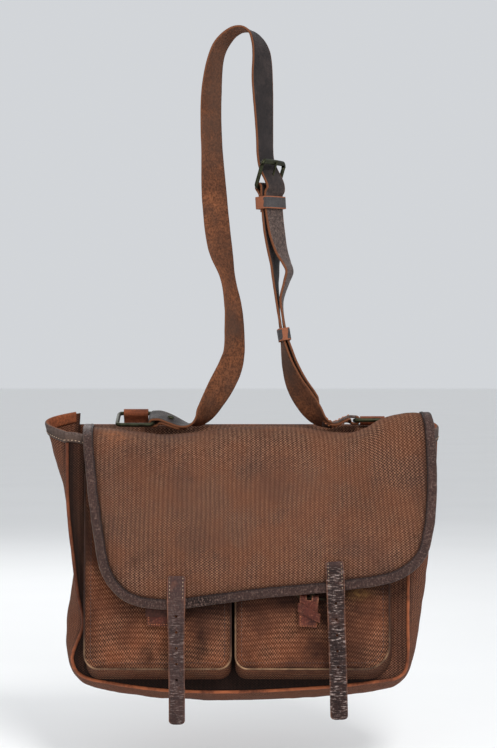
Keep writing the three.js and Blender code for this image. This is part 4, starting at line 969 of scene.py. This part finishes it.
# Slack in the cloth: soft swells all over, and shallow folds fanning from the two strap ends.
slack = lumps(grid * [1, 0.2, 0.7], 75, 41) * 2.2 + lumps(grid * [1, 0.2, 0.6], 30, 42) * 0.9
slack = slack * smoothStep(down, 22, 70)
for ringX, lean in flapLook["fans"]:
    away = (x - ringX) - lean * (down - 60)
    slack += 0.7 * np.cos(away / 7.5) * bell(away / 26, (down - 78) / 46)
f, g = np.linspace(0, 1, bottomCells + 1), np.linspace(0, 1, sideCells + 1)
held = smoothStep(np.minimum(f, 1 - f), 0, 0.06) * smoothStep(1 - g, 0, 0.06)[:, None]
grid = grid + normals * (slack * held)[..., None]
# Ribs run down the flap and lean out towards its right corner.
ribs = x + 0.1 * smoothStep(x, 60, 180) * (170 - down) + 2 * lumps(grid, 60, 43)
fromEdge = np.hypot(x[..., None] - flapOutline[:, 0], down[..., None] - flapOutline[:, 1]).min(axis=-1)
# Darker towards the binding, with a narrow band of painted shadow just inside its inner edge.
soilAndShade = 0.35 * smoothStep(fromEdge, 26, 6) + 0.65 * smoothStep(fromEdge, 11.2, 8.6)
soilAndShade += 0.25 * smoothStep(down, 10, 0)
# Painted shade on the parts of the flap that face upward, holding back the light from above.
soilAndShade += 0.28 * smoothStep(normals[..., 2], 0.2, 0.6) * (1 + lumps(grid, 25, 44))
for spotX, spotZ, size, depth in flapLook["darkSpots"]:
    soilAndShade += depth * bell((x - spotX) / size, (grid[..., 2] - spotZ) / size)
bare = 0.5 * bell((x + 126) / 17, (down - 72) / 12)
flap = wallObject("flap_cloth", grid, flapLook["wall"], np.stack([ribs, down], axis=-1),
                  {"soilAndShade": np.clip(soilAndShade, 0, 1), "rubbed": bare})
finishPiece(flap, canvas["flap"], ["flap"])

# The leather folded over the flap's free edge
edgeFlat = evenly(edgeCurve(np.linspace(0, len(edgeKnots) - 1, 3000)), flapBindingLook["number"])
inward = unit(np.gradient(edgeFlat, axis=0))[:, ::-1] * [1, -1]
inward[0], inward[-1] = (1, 0), (-1, 0)
edge, edgeNormal = flapFrame(edgeFlat)
inner, innerNormal = flapFrame(edgeFlat + inward * flapBindingLook["width"])
outward = edge - inner
outward = unit(outward - edgeNormal * np.einsum("ij,ij->i", outward, edgeNormal)[:, None])
# Its rim is worn pale round the lower left corner, less so elsewhere, and it is wrinkled by the left strap,
# with painted shade in the folds and painted highlights on the ridges, brightest as glints beside that
# strap.
rubbed = 0.12 + 0.5 * lumps(edge, 30, 53) + bell((edge[:, 0] + 122) / 45, (edge[:, 2] + 530) / 50)
creased = 0.3 + 0.25 * lumps(edge, 22, 54) + 0.9 * bell((edge[:, 0] + 40) / 16)
ripple = outward * (lumps(edge, 11, 51) * 0.35 + lumps(edge, 4, 52) * 0.15)[:, None]
flapBinding = foldedBinding("flap_edge_leather", (edge + ripple, edgeNormal), outward,
                            (inner + ripple * 1.6, innerNormal), flapLook["wall"], flapBindingLook,
                            np.clip(rubbed, 0, 1), creased)
finishPiece(flapBinding, leather["binding"], ["flap_binding"])
sewn, sewnNormal = flapFrame(edgeFlat + inward * flapBindingLook["width"] * flapBindingLook["sewn"])
rise = flapLook["wall"] / 2 + flapBindingLook["room"] + flapBindingLook["leather"]
flapSewn = [(sewn + sewnNormal * rise * way, sewnNormal * way) for way in (1, -1)]
print("flap made")

# Straps are ribbons swept along stations: a point, the width direction and the direction the grain faces.
# Worn, ruck (the height of wrinkles across the strap) and inked (how dark its edge is) go by station.
def ribbonObject(name, run, depth, seed, cup, worn=0.0, edgeWorn=0.0, ruck=0.0, inked=-1.0):
    point, width, normal = (run[key][:, None] for key in ("point", "width", "normal"))
    half, cells, edge = depth / 2, np.linspace(-1, 1, 13), np.array([-0.35, 0.35])
    across = np.concatenate([cells, [1, 1], -cells, [-1, -1]])
    lift = np.concatenate([0 * cells - 1, edge, 0 * cells + 1, -edge])
    side = np.where(np.abs(lift) < 0.5, 0, lift)
    corner = (np.abs(across) > 0.99) & (np.abs(lift) > 0.99)
    wobble = 1 + 0.012 * lumps(run["point"], 14, seed) + 0.006 * lumps(run["point"], 5, seed + 1)
    cut = np.where(corner, min(0.8, half * 0.7) * 0.55, 0)
    reach = (run["size"] / 2 * wobble)[:, None] * across - np.sign(across) * cut
    spots = point + width * (across * 9)[:, None]
    rise = half * lift * np.where(corner, 0.86, 1) - cup * across**2 + 0.14 * lumps(spots, 8, seed + 2)
    ruck = np.broadcast_to(np.reshape(ruck, (-1, 1)), reach.shape)
    if ruck.any():
        broad = lumps(spots * [0.3, 0.3, 1], 2.8, seed + 3)
        fine = lumps(spots * [0.4, 0.4, 1], 1.5, seed + 4)
        rise = rise + 0.6 * ruck * (broad + 0.5 * fine)
    sections = point + width * reach[..., None] + normal * rise[..., None]
    grained = np.maximum(np.where(corner, side * 0.4, side), np.reshape(inked, (-1, 1)))
    values = {"side": np.where(side < -0.5, side, grained) + 0 * reach,
              "wear": np.reshape(worn, (-1, 1)) + edgeWorn * smoothStep(np.abs(across), 0.8, 1) + 0 * reach,
              "creases": np.clip(ruck, 0, 1)}
    girth = np.append(reachAlong(sections[len(sections) // 2]), 62)
    return sweepObject(name, sections, reachAlong(run["point"]), girth, values)


# The closure straps, sewn to the flap and hanging loose below it
closureSides = {
    "left": dict(
        rows=table(("x", "z", "off"), [
            (-64.5, -545, 2.3), (-64.5, -556, 2.6), (-64.6, -566, 4.4), (-64.6, -578, 4.6),
            (-64.4, -600, 4.2), (-64.2, -630, 3), (-64, -660, 1.6), (-64, -689, 0.6)]),
        holeStart=-583.5, sewnLength=21.0, crinkle=0.4, smooth=(16, 32), narrow=0.88),
    "right": dict(
        rows=table(("x", "z", "off"), [
            (89.2, -531, 2.3), (89.6, -541, 2.6), (89.9, -550, 4.4), (90.2, -562, 4.6),
            (90.8, -585, 4.6), (92, -620, 3.4), (93, -655, 2.4), (93.6, -684, 3)]),
        holeStart=-571.0, sewnLength=26.0, crinkle=1.0, smooth=(1, 9), narrow=0.95),
}
closureLook = dict(width=18.0, leather=2.2, corner=4.0, cup=0.35, edgeWorn=0.9, steps=260, edgeRow=3,
                   holeRadius=1.4, holePitch=15.5, holes=5, sewnTop=2.2, sewnInset=2.6, punch=20.0)


# Punches a row of holes through a strap, from front to back.
def punchHoles(strap, line, start):
    punch = bmesh.new()
    for k in range(closureLook["holes"]):
        z = start - k * closureLook["holePitch"]
        x, y, _ = line[np.argmin(np.abs(line[:, 2] - z))]
        place = Matrix.Translation(Vector(toScene((x, y, z)))) @ Matrix.Rotation(math.pi / 2, 4, "X")
        radius = closureLook["holeRadius"] * mm
        bmesh.ops.create_cone(punch, cap_ends=True, segments=16, radius1=radius, radius2=radius,
                              depth=closureLook["punch"] * mm, matrix=place)
    mesh = bpy.data.meshes.new("punch")
    punch.to_mesh(mesh)
    punch.free()
    tool = linked("punch", mesh)
    cutter = strap.modifiers.new("holes", "BOOLEAN")
    cutter.object, cutter.operation, cutter.solver = tool, "DIFFERENCE", "EXACT"
    plain(strap)
    bpy.data.objects.remove(tool)


closureSewn = []
for side, own in closureSides.items():
    rows = own["rows"]
    onFlap = np.maximum(rows["z"], rows["z"][closureLook["edgeRow"]])
    y = flapPoint(rows["x"], flapDownAt(onFlap))[:, 1] - rows["off"]
    curve = curveThrough(np.stack([rows["x"], y, rows["z"]], axis=-1))
    line = evenly(curve(np.linspace(0, len(y) - 1, 900)), closureLook["steps"])
    tangent = unit(np.gradient(line, axis=0))
    width = unit(np.array([1.0, 0, 0]) - tangent * tangent[:, :1])
    normal = np.cross(tangent, width)
    fromTop = reachAlong(line)
    corner = closureLook["corner"]
    toTip = np.clip(fromTop[-1] - fromTop, 0, corner)
    size = closureLook["width"] * (1 - (1 - own["narrow"]) * smoothStep(fromTop, 20, 70))
    size = size - 2 * (corner - np.sqrt(corner**2 - (corner - toTip) ** 2))
    size = size * (1 - 0.12 * smoothStep(fromTop, 1.5, 0))
    # Creases across the leather where it has been bent through the buckle: raised in its surface, with
    # painted shade in their folds and painted highlights on their ridges.
    ruck = own["crinkle"] * smoothStep(fromTop, *own["smooth"]) * (1 + 0.6 * lumps(line, 20, 61))
    run = dict(point=line, width=width, normal=normal, size=size)
    strap = ribbonObject("closure_leather_" + side, run, closureLook["leather"], 63, closureLook["cup"],
                         edgeWorn=closureLook["edgeWorn"], ruck=ruck)
    punchHoles(strap, line, own["holeStart"])
    finishPiece(strap, leather["closure"], ["closure_strap_" + side])
    sewn = (fromTop > closureLook["sewnTop"]) & (fromTop < own["sewnLength"])
    reach = width[sewn] * (closureLook["width"] / 2 - closureLook["sewnInset"])
    lift = normal[sewn] * closureLook["leather"] / 2 * np.sign(-normal[0, 1])
    closureSewn += [(line[sewn] + reach * way + lift, normal[sewn]) for way in (-1, 1)]

# The shoulder strap. Turn is the leather's angle about its line: 0 lies flat to the front, 90 is edge-on.
longRows = np.array([  # x, y, z, turn
    (-74, -11.5, -394.5, 107), (-63, -11.5, -399, 102), (-54, -11, -400, 90), (-45, -10, -395.5, 68),
    (-38, -9, -387, 48), (-30, -7, -374, 35), (-21.5, -5, -359, 24), (-13.6, -3, -342.6, 28),
    (-9.4, -1, -327, 42), (-9, 0, -303.7, 47), (-10.3, 0, -280, 54), (-16, 0, -249.5, 60),
    (-23.8, 0, -217.8, 29), (-29, 0, -172, 25), (-31.6, 0, -126, 40), (-33, 0, -86, 44),
    (-32.2, 0, -58, 46), (-29.2, 0, -31.7, 57), (-24.6, 0, -16, 63), (-17.4, 0, -5.5, 70),
    (-9.2, 0, 1.5, 79), (0, 0, 4.1, 90), (9.2, 0, 0.5, 104), (15.3, 0, -8, 118), (19, 0, -20, 130),
    (19.9, 0, -48, 139), (21, 0, -73, 134), (22.3, 0, -105, 127), (23, 0, -126, 126), (25, -1, -136, 128),
], float)
shortRows = np.array([  # x, y, z, turn, and how far the long strap's tail stands off
    (27.1, 0, -158, 130, 8.5), (27.4, 0, -166, 130, 5.2), (27.8, 0, -174, 130, 4.4),
    (29.6, 0, -202, 126, 5.8), (31.7, 0, -222, 118, 8), (32.7, 0, -236, 108, 12.5),
    (33.2, 0, -244.5, 105, 15), (33.7, 0, -256, 100, 11), (35.3, 0, -273, 96, 4.4),
    (36.8, 0, -288, 92, 3.8), (39.9, 0, -309, 88, 4), (42.6, -1, -324, 80, 4.7),
    (47, -2, -342.6, 66, 4.7), (53.2, -4, -359, 52, 4.7), (62.4, -6, -374.3, 43, 4.7),
    (73.6, -8, -389, 50, 4), (85, -11, -397.5, 74, 0), (93, -12, -398, 88, 0), (100, -11.5, -395, 89, 0),
], float)
strapLook = dict(width=28.0, leather=2.6, cup=0.3, foldGap=2.9, wireGap=3.8, perRow=9, tailRows=16,
                 taper=9.0, tailTaper=12.0, ringLead=7.0, mostFolded=60)
ringLook = dict(left=(-109, -10, -394.5), right=(132, -10, -395.8), leftTilt=17.0, rightTilt=-2.0,
                inner=32.0, wire=4.0)


# Stations along rows of x, y, z and turn.
def strapStations(rows):
    at = np.linspace(0, len(rows) - 1, (len(rows) - 1) * strapLook["perRow"] + 1)
    point = curveThrough(rows[:, :3])(at)
    tangent = unit(np.gradient(point, axis=0))
    depth = unit(np.array([0, 1.0, 0]) - tangent * tangent[:, 1:2])
    angle = np.radians(reader(rows[:, 3])(at))[:, None]
    width = np.cross(depth, tangent) * np.cos(angle) + depth * np.sin(angle)
    return dict(point=point, tangent=tangent, width=width, normal=np.cross(tangent, width),
                size=np.full(len(at), strapLook["width"]))


def joined(*parts):
    keys = ("point", "width", "normal", "size")
    return {key: np.concatenate([part[key] for part in parts]) for key in keys}


def turnedRound(run):
    return {key: column[::-1] for key, column in run.items()}


# The end of a strap folded under, round the wire that it hangs on. Direction is -1 at its first station.
def foldedEnd(stations, direction, foldLength, foldRun):
    run = stations if direction < 0 else turnedRound(stations)
    gap = strapLook["wireGap"]
    point, tangent, width, normal = (run[key][0] for key in ("point", "tangent", "width", "normal"))
    angle = np.linspace(-np.pi / 2, np.pi / 2, 15)[1:-1, None]
    out = tangent * direction * np.cos(angle) + normal * np.sin(angle)
    bend = dict(point=point - normal * gap + out * gap, width=np.tile(width, (len(out), 1)), normal=out,
                size=np.full(len(out), strapLook["width"]))
    away = np.linalg.norm(run["point"] - point, axis=1)
    keep = (away > 0.5) & (away < foldLength) & (np.arange(len(away)) < strapLook["mostFolded"])
    away = away[keep]
    stand = 2 * gap + (strapLook["foldGap"] - 2 * gap) * smoothStep(away, 0, foldRun)
    taper = 1 - 0.5 * smoothStep(away, foldLength - strapLook["taper"], foldLength)
    under = dict(point=run["point"][keep] - run["normal"][keep] * stand[:, None], width=run["width"][keep],
                 normal=-run["normal"][keep], size=strapLook["width"] * taper)
    fold = joined(turnedRound(under), bend)
    return fold if direction < 0 else turnedRound(fold)


# A row of a strap that lies on a ring's wire, or some way before it.
def ringRow(side, direction, before=0.0):
    x, y, z = ringLook[side]
    tilt, gap = math.radians(ringLook[side + "Tilt"]), strapLook["wireGap"]
    reach = direction * ((ringLook["inner"] + ringLook["wire"]) / 2 + before)
    return (x + reach, y - gap * math.sin(tilt), z + gap * math.cos(tilt), 90 + ringLook[side + "Tilt"])


lead = strapLook["ringLead"]
shortPath = strapStations(np.vstack([shortRows[:, :4], ringRow("right", -1, lead), ringRow("right", -1)]))
shortEnds = foldedEnd(shortPath, -1, 30, 9), foldedEnd(shortPath, 1, 32, 13)
picked = np.arange(strapLook["tailRows"]) * strapLook["perRow"]
behind = shortRows[: len(picked)]
tailPoints = shortPath["point"][picked] + shortPath["normal"][picked] * behind[:, 4:5]
tailRows = np.hstack([tailPoints, behind[:, 3:4]])
longPath = strapStations(np.vstack([ringRow("left", 1), ringRow("left", 1, lead), longRows, tailRows]))
reach = reachAlong(longPath["point"])
longPath["size"] *= 1 - 0.5 * smoothStep(reach, reach[-1] - strapLook["tailTaper"], reach[-1])
longEnd = foldedEnd(longPath, -1, 36, 14)
for name, node, parts, seed in (("short_strap", "strap_short", (shortEnds[0], shortPath, shortEnds[1]), 71),
                                ("long_strap", "strap_long", (longEnd, longPath), 75)):
    run = joined(*parts)
    x, low = run["point"][:, 0], -run["point"][:, 2]
    # The grain is rubbed brown and pebbly below the buckle, and still dark over the bight.
    worn = 0.06 + 0.94 * smoothStep(low, 140, 200) * smoothStep(x, -40, 10)
    if node == "strap_short":
        worn = worn * (0.15 + 0.85 * smoothStep(low, 290, 330))
    # Its raw edge is blackened where it rises to the right ring.
    inked = 2 * smoothStep(x, 84, 94) * (np.arange(len(x)) < len(x) - len(shortEnds[1]["point"])) - 1
    strap = ribbonObject(name, run, strapLook["leather"], seed, strapLook["cup"], worn, inked=inked)
    finishPiece(strap, strapLeather, [node])
print("straps made")

# Metal fittings and small leather pieces: finer copies of the frame's own nodes
metalPieces = {
    "ring_left": ("ring_wire_left", brass), "ring_right": ("ring_wire_right", brass),
    "strap_buckle": ("buckle_frame", brass), "buckle_prong": ("buckle_tongue", brass),
    "strap_rivet": ("rivet_head", brass), "pocket_buckle_left": ("pocket_frame_left", dullBrass),
    "pocket_buckle_right": ("pocket_frame_right", dullBrass),
}
metalLook = dict(levels=2, wear=0.5, rivetCrease=0.35, barFrom=6.0, barFull=4.5, barSwell=0.4)


# The top bar of the strap's buckle is thicker than the rest of its frame.
def swellTopBar(mesh):
    spots = vertexColumn(mesh) / mm
    top = spots[:, 2].max()
    near = smoothStep(spots[:, 2], top - metalLook["barFrom"], top - metalLook["barFull"])[:, None]
    middle = spots[near[:, 0] > 0.9].mean(axis=0) * [0, 1, 1] + spots * [1, 0, 0]
    moveVertices(mesh, (spots + (spots - middle) * near * metalLook["barSwell"]) * mm)


for node, (name, finish) in metalPieces.items():
    crease = metalLook["rivetCrease"] if node == "strap_rivet" else 0.0
    piece = finerCopy(node, name, metalLook["levels"], crease)
    if node == "strap_buckle":
        swellTopBar(piece.data)
    finishPiece(piece, finish, [node], metalLook["wear"])

leatherPieces = {
    "ring_tab_left": ("ring_loop_left", "tab", "tan_leather"),
    "ring_tab_right": ("ring_loop_right", "tab", "tan_leather"),
    "buckle_tab_left": ("buckle_loop_left", "red", "red_leather"),
    "buckle_tab_right": ("buckle_loop_right", "red", "red_leather"),
    "tab_keeper_left": ("loop_keeper_left", "band", "dark_leather"),
    "tab_keeper_right": ("loop_keeper_right", "red", "dark_leather"),
}
smallLook = dict(levels=3, crease=0.75, wear=2.2)
# The right tab has shrunk towards its left edge, and its keeper has slipped down on its right side.
shrunkTabs = {
    "buckle_tab_right": dict(width=0.76, lean=0.0),
    "tab_keeper_right": dict(width=0.82, lean=-0.36),
}
smallLeather = {}
for node, (name, look, slotName) in leatherPieces.items():
    piece = finerCopy(node, name, smallLook["levels"], smallLook["crease"])
    if node in shrunkTabs:
        spots = vertexColumn(piece.data)
        x = spots[:, 0].copy()
        spots[:, 2] += shrunkTabs[node]["lean"] * (x - x.mean())
        spots[:, 0] = x.min() + (x - x.min()) * shrunkTabs[node]["width"]
        moveVertices(piece.data, spots)
    smallLeather[node] = finishPiece(piece, leather[look], [node], smallLook["wear"])

# The two keepers on the strap: dark grain with raw edges, rubbed to a copper brown at their corners.
# Bare is a pair of shares of the width, where it is fully rubbed and where not at all.
keeperLook = dict(rim=1.1, worn=0.2, depth=0.85)
keeperBare = {
    "keeper_upper": ("upper_keeper", (-0.30, -0.16)),
    "keeper_lower": ("lower_keeper", (0.26, 0.12)),
}
for node, (name, (full, none)) in keeperBare.items():
    band = finerCopy(node, name, smallLook["levels"], smallLook["crease"])
    spots = vertexColumn(band.data) / mm + [0, 0, hangDrop]
    middle = (spots.min(axis=0) + spots.max(axis=0)) / 2
    way = shortPath["tangent"][np.argmin(np.linalg.norm(shortPath["point"] - middle, axis=1))]
    height = np.abs((spots - middle) @ way)
    side = smoothStep(height.max() - height, keeperLook["rim"] * 0.4, keeperLook["rim"])
    across = (spots[:, 0] - middle[0]) / np.ptp(spots[:, 0]) + 0.05 * lumps(spots, 3.5, 81)
    if full < none:
        bare = smoothStep(across, none, full)
    else:
        bare = smoothStep(np.abs(across - 0.05), full, none) * smoothStep(middle[1] - spots[:, 1], -2, 2)
    addValue(band.data, "side", side * (1 - keeperLook["depth"] * bare))
    addValue(band.data, "wear", np.full(len(side), keeperLook["worn"]))
    finishPiece(band, keeperLeather, [node])
print("fittings made")

# Stitches: one tree lays small beads of thread at even steps along a line, turned to its own normals.
def stitchTree(name, thread):
    tree = bpy.data.node_groups.new(name, "GeometryNodeTree")
    for way in ("INPUT", "OUTPUT"):
        tree.interface.new_socket("Geometry", in_out=way, socket_type="NodeSocketGeometry")
    for label in ("Pitch", "Length", "Thickness", "Sway"):
        tree.interface.new_socket(label, in_out="INPUT", socket_type="NodeSocketFloat")
    tree.interface.new_socket("Seed", in_out="INPUT", socket_type="NodeSocketInt")
    start = tree.nodes.new("NodeGroupInput").outputs

    def add(kind, inputs, **settings):
        return addNode(tree, kind, inputs, **settings).outputs

    # Where the stitches lie, and which way each one points
    facing = add("GeometryNodeInputNamedAttribute", {"Name": "facing"}, data_type="FLOAT_VECTOR")[0]
    line = add("GeometryNodeMeshToCurve", {0: start["Geometry"]})[0]
    spots = add("GeometryNodeCurveToPoints", {"Curve": line, "Length": start["Pitch"]}, mode="LENGTH")
    along = add("FunctionNodeAlignRotationToVector", {"Vector": spots["Tangent"]}, axis="X")[0]
    turned = add("FunctionNodeAlignRotationToVector", {"Rotation": along, "Vector": facing},
                 axis="Z", pivot_axis="X")[0]
    sway = add("FunctionNodeRandomValue", {"Seed": start["Seed"], 2: -1.0, 3: 1.0}, data_type="FLOAT")[1]
    lean = add("ShaderNodeMath", {0: sway, 1: start["Sway"]}, operation="MULTIPLY")[0]
    leanWay = add("ShaderNodeCombineXYZ", {"Z": lean})[0]
    swayed = add("FunctionNodeRotateRotation", {"Rotation": turned, "Rotate By": leanWay},
                 rotation_space="LOCAL")[0]

    # One stitch, laid at every place
    bead = add("GeometryNodeMeshUVSphere", {"Segments": 8, "Rings": 6, "Radius": 0.5})[0]
    thick = start["Thickness"]
    stretch = add("ShaderNodeCombineXYZ", {"X": start["Length"], "Y": thick, "Z": thick})[0]
    stitch = add("GeometryNodeTransform", {"Geometry": bead, "Scale": stretch})[0]
    laid = add("GeometryNodeInstanceOnPoints",
               {"Points": spots[0], "Instance": stitch, "Rotation": swayed})[0]
    real = add("GeometryNodeRealizeInstances", {0: laid})[0]
    smooth = add("GeometryNodeSetShadeSmooth", {"Geometry": real})[0]
    painted = add("GeometryNodeSetMaterial", {"Geometry": smooth, "Material": thread})[0]
    addNode(tree, "NodeGroupOutput", {0: painted})
    return tree


# Sews lines of points, each with the directions it faces, as one piece that is lifted off the leather.
def sew(name, lines, rise, thread, sizes):
    points = np.vstack([line + unit(normal) * rise for line, normal in lines])
    facing = np.vstack([normal for line, normal in lines])
    edges, first = [], 0
    for line, normal in lines:
        edges += [(first + k, first + k + 1) for k in range(len(line) - 1)]
        first += len(line)
    mesh = bpy.data.meshes.new(name)
    mesh.from_pydata(toScene(points).tolist(), edges, [])
    layer = mesh.attributes.new("facing", "FLOAT_VECTOR", "POINT")
    layer.data.foreach_set("vector", facing.astype(np.float32).ravel())
    thing = linked(name, mesh)
    laid = thing.modifiers.new("stitches", "NODES")
    laid.node_group = stitchTree(name + "Tree", thread)
    for item in laid.node_group.interface.items_tree:
        if item.name in sizes:
            laid[item.identifier] = sizes[item.name]
    finishPiece(plain(thing), thread, [])


stitchSizes = {
    "binding": dict(Pitch=3.1 * mm, Length=2.2 * mm, Thickness=0.75 * mm, Sway=0.1, Seed=3),
    "mouth": dict(Pitch=3.6 * mm, Length=1.7 * mm, Thickness=0.9 * mm, Sway=0.15, Seed=4),
    "closure": dict(Pitch=3.1 * mm, Length=1.6 * mm, Thickness=0.85 * mm, Sway=0.2, Seed=5),
    "strapEnd": dict(Pitch=3.6 * mm, Length=2.4 * mm, Thickness=0.9 * mm, Sway=0.15, Seed=6),
    "tab": dict(Pitch=2.3 * mm, Length=1.3 * mm, Thickness=0.7 * mm, Sway=0.2, Seed=8),
    "seam": dict(Pitch=3.4 * mm, Length=2.5 * mm, Thickness=0.7 * mm, Sway=0.08, Seed=7),
}
stitchLook = dict(strapInset=3.2, nearRing=(9, 30), nearBuckle=(9, 27), tabInset=1.8, tabHeight=11.0,
                  backInset=5.5, backDrop=6.0, pocketInset=6.0, hemInset=5.0, hemDrop=9.0)
sew("flap_stitches", flapSewn, 0.1, darkThread, stitchSizes["binding"])
sew("mouth_stitches", mouthSewn, 0.15, paleThread, stitchSizes["mouth"])
sew("closure_stitches", closureSewn, 0.2, paleThread, stitchSizes["closure"])


# Rows of stitches near both edges of the short strap, on both faces of its folded end.
def strapSewing(reach, near):
    rows = (reach > near[0]) & (reach < near[1])
    point, width, normal = (shortPath[key][rows] for key in ("point", "width", "normal"))
    sideways = width * (strapLook["width"] / 2 - stitchLook["strapInset"])
    front = strapLook["leather"] / 2
    faces = ((1, front), (-1, front + strapLook["foldGap"]))
    return [(point + sideways * way + normal * lift * face, normal * face)
            for way in (-1, 1) for face, lift in faces]


reach = reachAlong(shortPath["point"])
strapSewn = strapSewing(reach[-1] - reach, stitchLook["nearRing"])
strapSewn += strapSewing(reach, stitchLook["nearBuckle"])
sew("strap_end_stitches", strapSewn, 0.15, orangeThread, stitchSizes["strapEnd"])

# Stitches round the ends of the buckle tabs, laid on the leather's own face.
tabSewn = []
for node in ("buckle_tab_left", "buckle_tab_right"):
    tab = smallLeather[node]
    spots = vertexColumn(tab.data) / mm
    (left, _, bottom), (right, _, _) = spots.min(axis=0), spots.max(axis=0)
    left, right = left + stitchLook["tabInset"], right - stitchLook["tabInset"]
    low, high = bottom + stitchLook["tabInset"], bottom + stitchLook["tabHeight"]
    path = evenly(np.array([(left, high), (left, low), (right, low), (right, high)]), 40)
    rays = [tab.ray_cast(Vector((x * mm, -0.3, z * mm)), Vector((0, 1, 0))) for x, z in path]
    places, normals = zip(*[(place, normal) for hit, place, normal, _ in rays if hit and normal.y < -0.5])
    tabSewn.append((np.array(places) / mm + [0, 0, hangDrop], np.array(normals)))
sew("tab_stitches", tabSewn, 0.1, orangeThread, stitchSizes["tab"])


# A line of stitches with the one direction it faces.
def facingSeam(line, way):
    return line, np.tile([0, float(way), 0], (len(line), 1))


# Seams in the cloth: round the back and inside the pockets' piping
line = evenly(backOutline(-stitchLook["backInset"], bodyLook["backTop"] - stitchLook["backDrop"]), 400)
seamSewn = [facingSeam(upright(line, bodyLook["back"] + 0.25), 1)]
for pocket in pocketSides.values():
    inset, hemZ = stitchLook["hemInset"], pocketLook["mouth"] - stitchLook["hemDrop"]
    hem = np.linspace((pocket["left"] + inset, hemZ), (pocket["right"] - inset, hemZ), 120)
    for flat in (evenly(pocketOutline(pocket, stitchLook["pocketInset"]), 300), hem):
        seamSewn.append(facingSeam(pocketFront(pocket, flat) - [0, pocketLook["wall"] / 2 + 0.1, 0], -1))
sew("seam_stitches", seamSewn, 0.0, darkThread, stitchSizes["seam"])

# Two rows across the top of the back, where the flap and the ring tabs are sewn in
offBack = [0, bodyLook["wall"] / 2 + 0.15, 0]
backSewn = [facingSeam(backGrid[row, 3:-3] + offBack, 1) for row in (1, 3)]
sew("back_stitches", backSewn, 0.0, brownThread, stitchSizes["seam"])
print("stitches laid")

# Floor, light and camera
stageLook = dict(floorGap=0.05, floorSize=90.0, floorTones=((246, 246, 245), (240, 240, 239)),
                 world=(226, 229, 233), worldStrength=0.85)
half, z = stageLook["floorSize"] / 2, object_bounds()[0].z - stageLook["floorGap"]
floorMesh = bpy.data.meshes.new("floor")
floorCorners = [(-half, -half, z), (half, -half, z), (half, half, z), (-half, half, z)]
floorMesh.from_pydata(floorCorners, [], [(0, 1, 2, 3)])
floorFinish = Finish("paleFloor", {"Roughness": 0.85})
pale, paler = stageLook["floorTones"]
floorTone = floorFinish.coats(pale, (floorFinish.cloud(3.0), paler))
floorFinish.tree.links.new(floorTone.socket, floorFinish.shader.inputs["Base Color"])
floorMesh.materials.append(floorFinish.material)
linked("floor", floorMesh)

world = bpy.data.worlds.new("studio")
world.use_nodes = True
sky = world.node_tree.nodes["Background"].inputs
sky[0].default_value, sky[1].default_value = colour(*stageLook["world"]), stageLook["worldStrength"]
bpy.context.scene.world = world
bpy.context.scene.view_settings.view_transform = "Standard"

lamps = {  # place, aim, width in metres, power in watts
    "key": ((0.55, -1.5, 0.95), (0, 0, -0.5), 0.7, 26),
    "fill": ((-1.3, -1.5, 0.1), (0, 0, -0.45), 1.2, 4),
    "back": ((-0.6, 1.5, 0.8), (0, 0, -0.45), 1.6, 12),
}
for name, (place, aim, size, power) in lamps.items():
    lampData = bpy.data.lights.new(name, "AREA")
    lampData.shape = "DISK"
    lampData.size, lampData.energy = size, power
    lamp = linked(name, lampData)
    lamp.location = place
    lamp.rotation_euler = (Vector(aim) - Vector(place)).to_track_quat("-Z", "Y").to_euler()

cameraLook = dict(place=(0.0056, -1.8, -0.3515), focal=1760.0, imageHeight=748.0, sensor=24.0)
cameraData = bpy.data.cameras.new("camera")
cameraData.sensor_fit = "VERTICAL"
cameraData.sensor_height = cameraLook["sensor"]
cameraData.lens = cameraLook["focal"] / cameraLook["imageHeight"] * cameraLook["sensor"]
camera = linked("camera", cameraData)
camera.location = cameraLook["place"]
camera.rotation_euler = (math.pi / 2, 0, 0)
bpy.context.scene.camera = camera
print("stage set")
